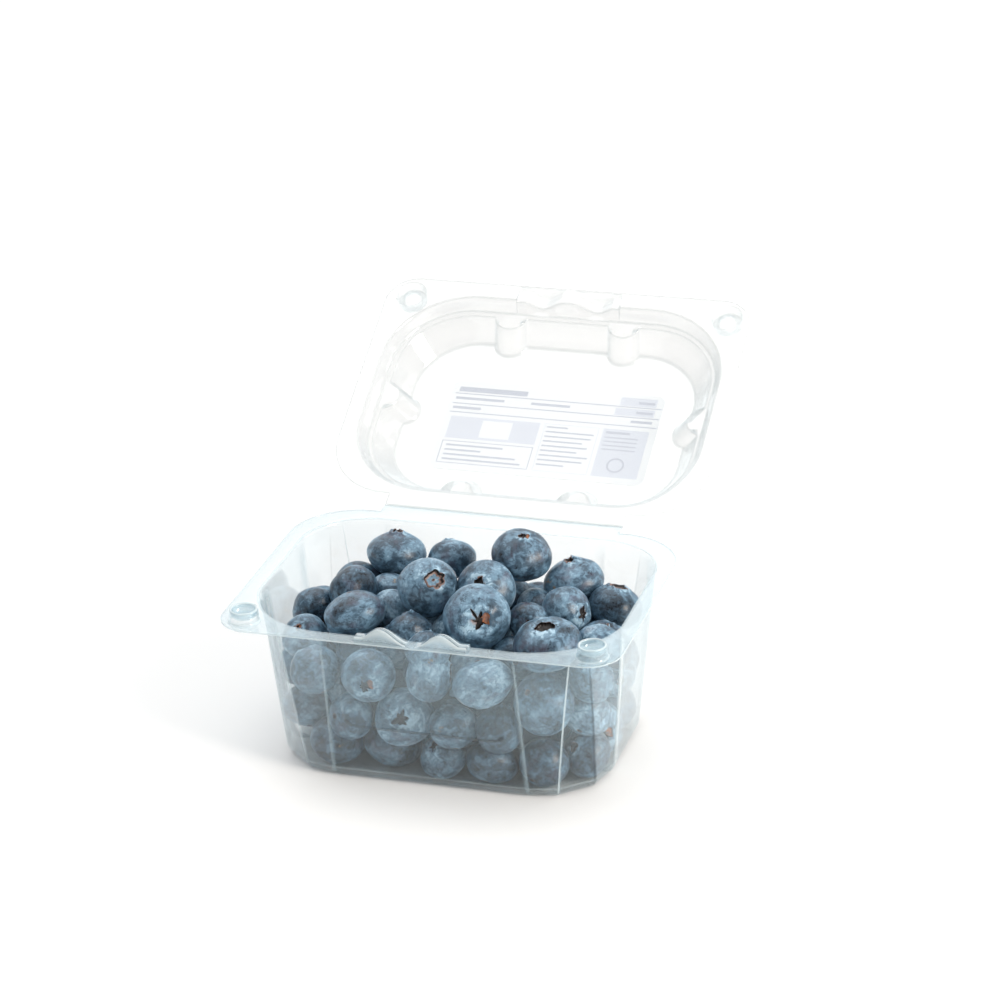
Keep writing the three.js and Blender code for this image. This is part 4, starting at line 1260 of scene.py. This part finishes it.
def heap_tree(material):
    """Geometry Nodes that set a berry of its own kind, spin and tone on each point."""
    tree = bpy.data.node_groups.new("berry heap", "GeometryNodeTree")
    for name, way, kind in (
            ("Geometry", "INPUT", "Geometry"), ("Berries", "INPUT", "Collection"),
            ("Growth", "INPUT", "Float"), ("Seed", "INPUT", "Int"),
            ("Geometry", "OUTPUT", "Geometry")):
        tree.interface.new_socket(name, in_out=way, socket_type=f"NodeSocket{kind}")
    n = Tree(tree)

    def named(name, data_type):
        return n.add("GeometryNodeInputNamedAttribute", {"Name": name},
                     data_type=data_type).outputs[0]

    def scaled(vector, by):
        return n.add("ShaderNodeVectorMath", {0: vector, "Scale": by},
                     operation="SCALE").outputs[0]

    start = n.add("NodeGroupInput")
    pool = n.add("GeometryNodeCollectionInfo", {
        "Collection": start.outputs["Berries"], "Separate Children": True,
        "Reset Children": True})
    placed = n.add("GeometryNodeInstanceOnPoints", {
        "Points": start.outputs["Geometry"], "Instance": pool.outputs[0],
        "Pick Instance": True, "Instance Index": named("kind", "INT"),
        "Rotation": named("turn", "FLOAT_VECTOR"),
        "Scale": scaled(named("size", "FLOAT_VECTOR"), start.outputs["Growth"])})
    spin = n.add("FunctionNodeRandomValue", {
        "Min": (0, 0, 0), "Max": (0, 0, 2 * math.pi), "Seed": start.outputs["Seed"]},
        data_type="FLOAT_VECTOR")
    spun = n.add("GeometryNodeRotateInstances", {
        "Instances": placed.outputs[0], "Local Space": True,
        "Rotation": scaled(spin.outputs[0], named("loose", "FLOAT"))})
    real = n.add("GeometryNodeRealizeInstances", {"Geometry": spun.outputs[0]})
    lump = n.add("ShaderNodeTexNoise", {
        "Vector": named("local", "FLOAT_VECTOR"), "Scale": 0.75, "Detail": 1.0,
        "W": n.math("MULTIPLY", named("draw", "FLOAT"), LUMP_SHIFT)},
        noise_dimensions="4D")
    bulge = n.add("ShaderNodeMapRange", {0: lump.outputs["Fac"], 3: -LUMP, 4: LUMP})
    uneven = n.add("GeometryNodeSetPosition", {
        "Geometry": real.outputs[0],
        "Offset": scaled(n.add("GeometryNodeInputNormal").outputs[0], bulge.outputs[0])})
    dressed = n.add("GeometryNodeSetMaterial", {
        "Geometry": uneven.outputs[0], "Material": material})
    n.add("NodeGroupOutput", {"Geometry": dressed.outputs[0]})
    return tree


def crown_turn(crown):
    """Turns a berry so that its crown faces the given way, and its torn side TORN_SIDE."""
    up = crown.normalized()
    side = (TORN_SIDE - TORN_SIDE.project(up)).normalized()
    return Matrix((side, up.cross(side), up)).transposed().to_euler()


def berry_points(name, berries, random):
    """A mesh of bare points, one for each berry, with what the tree reads."""
    mesh = bpy.data.meshes.new(name)
    mesh.from_pydata([tuple(berry.place * MM) for berry in berries], [], [])
    rows = []
    for berry in berries:
        half = berry.width / 2 * MM
        kind = berry.kind if berry.fixed else int(next(random) * len(CROWNS)) % len(CROWNS)
        shape = kind * VARIANTS + int(next(random) * VARIANTS) % VARIANTS
        tone, draw = next(random), next(random)
        rows.append(((half, half, berry.height / 2 * MM), crown_turn(berry.crown), shape,
                     not CROWNS[kind].torn, berry.bloom if berry.fixed else tone, draw))
    size, turn, shape, loose, tone, draw = zip(*rows)
    store(mesh, "size", size)
    store(mesh, "turn", turn)
    store(mesh, "kind", shape, "INT")
    for key, values in (("loose", loose), ("tone", tone), ("draw", draw)):
        store(mesh, key, values, "FLOAT")
    return mesh


def make_berries(name, berries, settings, around, down):
    """The berries as one plain mesh."""
    pool = bpy.data.collections.new(f"{name} pool")
    for kind in CROWNS:
        for variant in range(VARIANTS):
            shape = berry_mesh(kind, variant, around, down)
            pool.objects.link(bpy.data.objects.new(f"{name}_{kind}_{variant}", shape))
    material = bpy.data.materials.get("berry skin") or skin_material(settings)
    points = berry_points(name, berries, make_random(settings.seed + 7))
    holder = link(f"{name}_points", points, material)
    modifier = holder.modifiers.new("heap", "NODES")
    tree = heap_tree(material)
    modifier.node_group = tree
    inputs = {item.name: item.identifier for item in tree.interface.items_tree
              if item.in_out == "INPUT"}
    modifier[inputs["Berries"]] = pool
    modifier[inputs["Growth"]] = settings.growth
    modifier[inputs["Seed"]] = settings.seed
    holder.update_tag()
    bpy.context.view_layer.update()
    graph = bpy.context.evaluated_depsgraph_get()
    mesh = bpy.data.meshes.new_from_object(holder.evaluated_get(graph), depsgraph=graph)
    mesh.name = name
    press_inside(mesh)
    piece = bpy.data.objects.new(name, mesh)
    bpy.context.scene.collection.objects.link(piece)
    bpy.data.objects.remove(holder)
    for source in list(pool.objects):
        bpy.data.objects.remove(source)
    bpy.data.collections.remove(pool)
    return piece


def facet_corners(t):
    """The sixteen corners of the faceted wall at each share t of its height."""
    edge = Edge(*(lerp(a, b, t) for a, b in zip(FOOT, MOUTH)))
    corners = []
    for side_x, side_y in ((1, -1), (1, 1), (-1, 1), (-1, -1)):
        radius = edge.front_radius if side_y < 0 else edge.back_radius
        middle_y = edge.front + radius if side_y < 0 else edge.back - radius
        turn = []
        for a, b in zip(FOOT_CREASES, MOUTH_CREASES):
            angle = np.radians(lerp(a, b, t))
            turn.append((side_x * (edge.half - radius + radius * np.sin(angle)),
                         middle_y + side_y * radius * np.cos(angle)))
        corners += turn if side_x * side_y < 0 else turn[::-1]
    return np.array(corners).transpose(2, 0, 1)


def press_inside(mesh):
    """Flattens berries against the tray where they would reach into its wall or floor."""
    co = np.empty(len(mesh.vertices) * 3, np.float32)
    mesh.vertices.foreach_get("co", co)
    co = co.reshape(-1, 3) / MM
    co[:, 2] = np.maximum(co[:, 2], CAD_SHEET + PRESSED)
    low = co[:, 2] < RIM
    place = co[low, :2]
    t = np.clip((co[low, 2] - FOOT_HEIGHT) / (RIM - FOOT_HEIGHT), 0, 1)
    inset_by = PRESSED + FOOT_TUCK * np.clip(1 - co[low, 2] / FOOT_HEIGHT, 0, 1) ** 2
    corners = facet_corners(t)
    for k in range(corners.shape[1]):
        ahead = corners[:, (k + 1) % corners.shape[1]] - corners[:, k]
        inward = np.column_stack((-ahead[:, 1], ahead[:, 0]))
        inward /= np.linalg.norm(inward, axis=1)[:, None]
        depth = np.sum((place - corners[:, k]) * inward, axis=1)
        place = place + inward * np.maximum(inset_by - depth, 0)[:, None]
    co[low, :2] = place
    mesh.vertices.foreach_set("co", (co * MM).ravel())
    mesh.update()


CORE_HEIGHT, CORE_INSET = 20, 15  # the wall's outline that the core follows
CORE_ROWS = ((8, 0.9), (12, 1), (24, 1), (29, 0.8))  # height, and share of that outline


def make_core(settings):
    """A dark core deep in the heap that keeps light from passing between the berries."""
    points, _ = wall_ring(CORE_HEIGHT, -CORE_INSET)
    rings = [[(x * share, y * share, z) for x, y in points] for z, share in CORE_ROWS]
    core = solid("heap_core", rings, plain_material("heap core", settings.skin, 0.8))
    core.data.shade_smooth()
    return core


# ---------------- operators


class PUNNET_OT_tray(bpy.types.Operator):
    """Makes the clear tray"""

    bl_idname = "punnet.tray"
    bl_label = "Tray"

    def execute(self, context):
        tray = make_tray(context.scene.punnet_sheet)
        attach(tray, "punnet")
        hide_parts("tray")
        return {"FINISHED"}


class PUNNET_OT_lid(bpy.types.Operator):
    """Makes the clear lid, open on its hinge"""

    bl_idname = "punnet.lid"
    bl_label = "Lid"

    def execute(self, context):
        lid = make_lid(context.scene.punnet_sheet, lid_turn())
        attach(lid, "lid")
        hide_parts("lid")
        crease = make_crease(context.scene.punnet_sheet)
        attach(crease, "punnet")
        return {"FINISHED"}


class PUNNET_OT_label(bpy.types.Operator):
    """Makes the label on the lid"""

    bl_idname = "punnet.label"
    bl_label = "Label"

    def execute(self, context):
        label = make_label(context.scene.punnet_label, lid_turn())
        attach(label, "lid")
        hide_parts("label")
        return {"FINISHED"}


class PUNNET_OT_berries(bpy.types.Operator):
    """Heaps the berries in the tray"""

    bl_idname = "punnet.berries"
    bl_label = "Berries"

    def execute(self, context):
        settings = context.scene.punnet_berries
        shown = [Berry(*row) for row in SHOWN]
        berries = settle(shown + fill_berries(shown))
        shown_piece = make_berries("berries_shown", berries[:len(shown)], settings, *FINE)
        fill_piece = make_berries("berries_below", berries[len(shown):], settings, *COARSE)
        core = make_core(settings)
        for piece in (shown_piece, fill_piece, core):
            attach(piece, "punnet")
        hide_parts("berries")
        return {"FINISHED"}


class PUNNET_OT_stage(bpy.types.Operator):
    """Makes the floor, the soft light and the camera"""

    bl_idname = "punnet.stage"
    bl_label = "Stage"

    def execute(self, context):
        settings = context.scene.punnet_stage
        scene = context.scene
        scene.view_settings.view_transform = "Standard"
        scene.cycles.transparent_max_bounces = 32
        scene.world = bpy.data.worlds.new("pale surroundings")
        scene.world.use_nodes = True
        n = Tree(scene.world.node_tree)
        along = n.split(n.add("ShaderNodeTexCoord").outputs["Generated"])[1]
        strength = n.ramp(along, *BACKDROP_SPREAD, settings.sky, settings.backdrop)
        glow = n.add("ShaderNodeBackground", {"Color": (1, 1, 1), "Strength": strength})
        n.add("ShaderNodeOutputWorld", {"Surface": glow.outputs[0]})

        mesh = bpy.data.meshes.new("floor")
        mesh.from_pydata([(x * FLOOR_HALF, y * FLOOR_HALF, 0)
                          for x, y in ((-1, -1), (1, -1), (1, 1), (-1, 1))], [], [(0, 1, 2, 3)])
        floor = link("floor", mesh, plain_material("floor", settings.floor, 0.7))
        floor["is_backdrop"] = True

        for (name, place, size, tone), power in zip(LAMPS, (settings.key, settings.side)):
            lamp = bpy.data.lights.new(name, "AREA")
            lamp.energy, lamp.size, lamp.color = power, size, tone
            light = bpy.data.objects.new(name, lamp)
            turn = (LAMP_AIM - place).to_track_quat("-Z", "Y").to_matrix().to_4x4()
            light.matrix_world = Matrix.Translation(place) @ turn
            scene.collection.objects.link(light)

        camera = bpy.data.cameras.new("camera")
        camera.lens = CAMERA_LENS
        camera.sensor_width = CAMERA_SENSOR
        camera.clip_start = CAMERA_CLIP
        viewer = bpy.data.objects.new("camera", camera)
        viewer.matrix_world = camera_matrix()
        scene.collection.objects.link(viewer)
        scene.camera = viewer
        return {"FINISHED"}


def camera_matrix():
    """The camera's place and turn, from its azimuth, elevation and roll."""
    azimuth, elevation, roll = (
        math.radians(a) for a in (CAMERA_AZIMUTH, CAMERA_ELEVATION, CAMERA_ROLL))
    ahead = Vector((-math.sin(azimuth) * math.cos(elevation),
                    math.cos(azimuth) * math.cos(elevation), -math.sin(elevation)))
    right = Vector((math.cos(azimuth), math.sin(azimuth), 0))
    up = right.cross(ahead)
    rolled_right = right * math.cos(roll) + up * math.sin(roll)
    rolled_up = up * math.cos(roll) - right * math.sin(roll)
    matrix = Matrix((rolled_right, rolled_up, -ahead)).transposed().to_4x4()
    matrix.translation = CAMERA_PLACE * MM
    return matrix


class PUNNET_PT_panel(bpy.types.Panel):
    """Lists the pieces of the punnet"""

    bl_idname = "PUNNET_PT_panel"
    bl_label = "Berry Punnet"
    bl_space_type = "VIEW_3D"
    bl_region_type = "UI"
    bl_category = "Punnet"

    def draw(self, context):
        for piece in OPERATORS:
            self.layout.operator(piece.bl_idname)
        for group in SETTINGS:
            box = self.layout.box()
            for key in SETTINGS[group].__annotations__:
                box.prop(getattr(context.scene, group), key)


OPERATORS = (PUNNET_OT_stage, PUNNET_OT_tray, PUNNET_OT_lid, PUNNET_OT_label,
             PUNNET_OT_berries)
SETTINGS = {
    "punnet_sheet": SheetSettings,
    "punnet_berries": BerrySettings,
    "punnet_label": LabelSettings,
    "punnet_stage": StageSettings,
}


def register():
    for cls in (*SETTINGS.values(), *OPERATORS, PUNNET_PT_panel):
        bpy.utils.register_class(cls)
    for group, cls in SETTINGS.items():
        setattr(bpy.types.Scene, group, PointerProperty(type=cls))


def unregister():
    for group in SETTINGS:
        delattr(bpy.types.Scene, group)
    for cls in (PUNNET_PT_panel, *reversed(OPERATORS), *SETTINGS.values()):
        bpy.utils.unregister_class(cls)


def main():
    register()
    bpy.ops.punnet.stage()
    bpy.ops.punnet.tray()
    bpy.ops.punnet.lid()
    bpy.ops.punnet.label()
    bpy.ops.punnet.berries()
    boxes = {"cad": CAD_BOX, "visual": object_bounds()}
    {name: [list(corner) for corner in box] for name, box in boxes.items()}


if __name__ == "__main__":
    main()
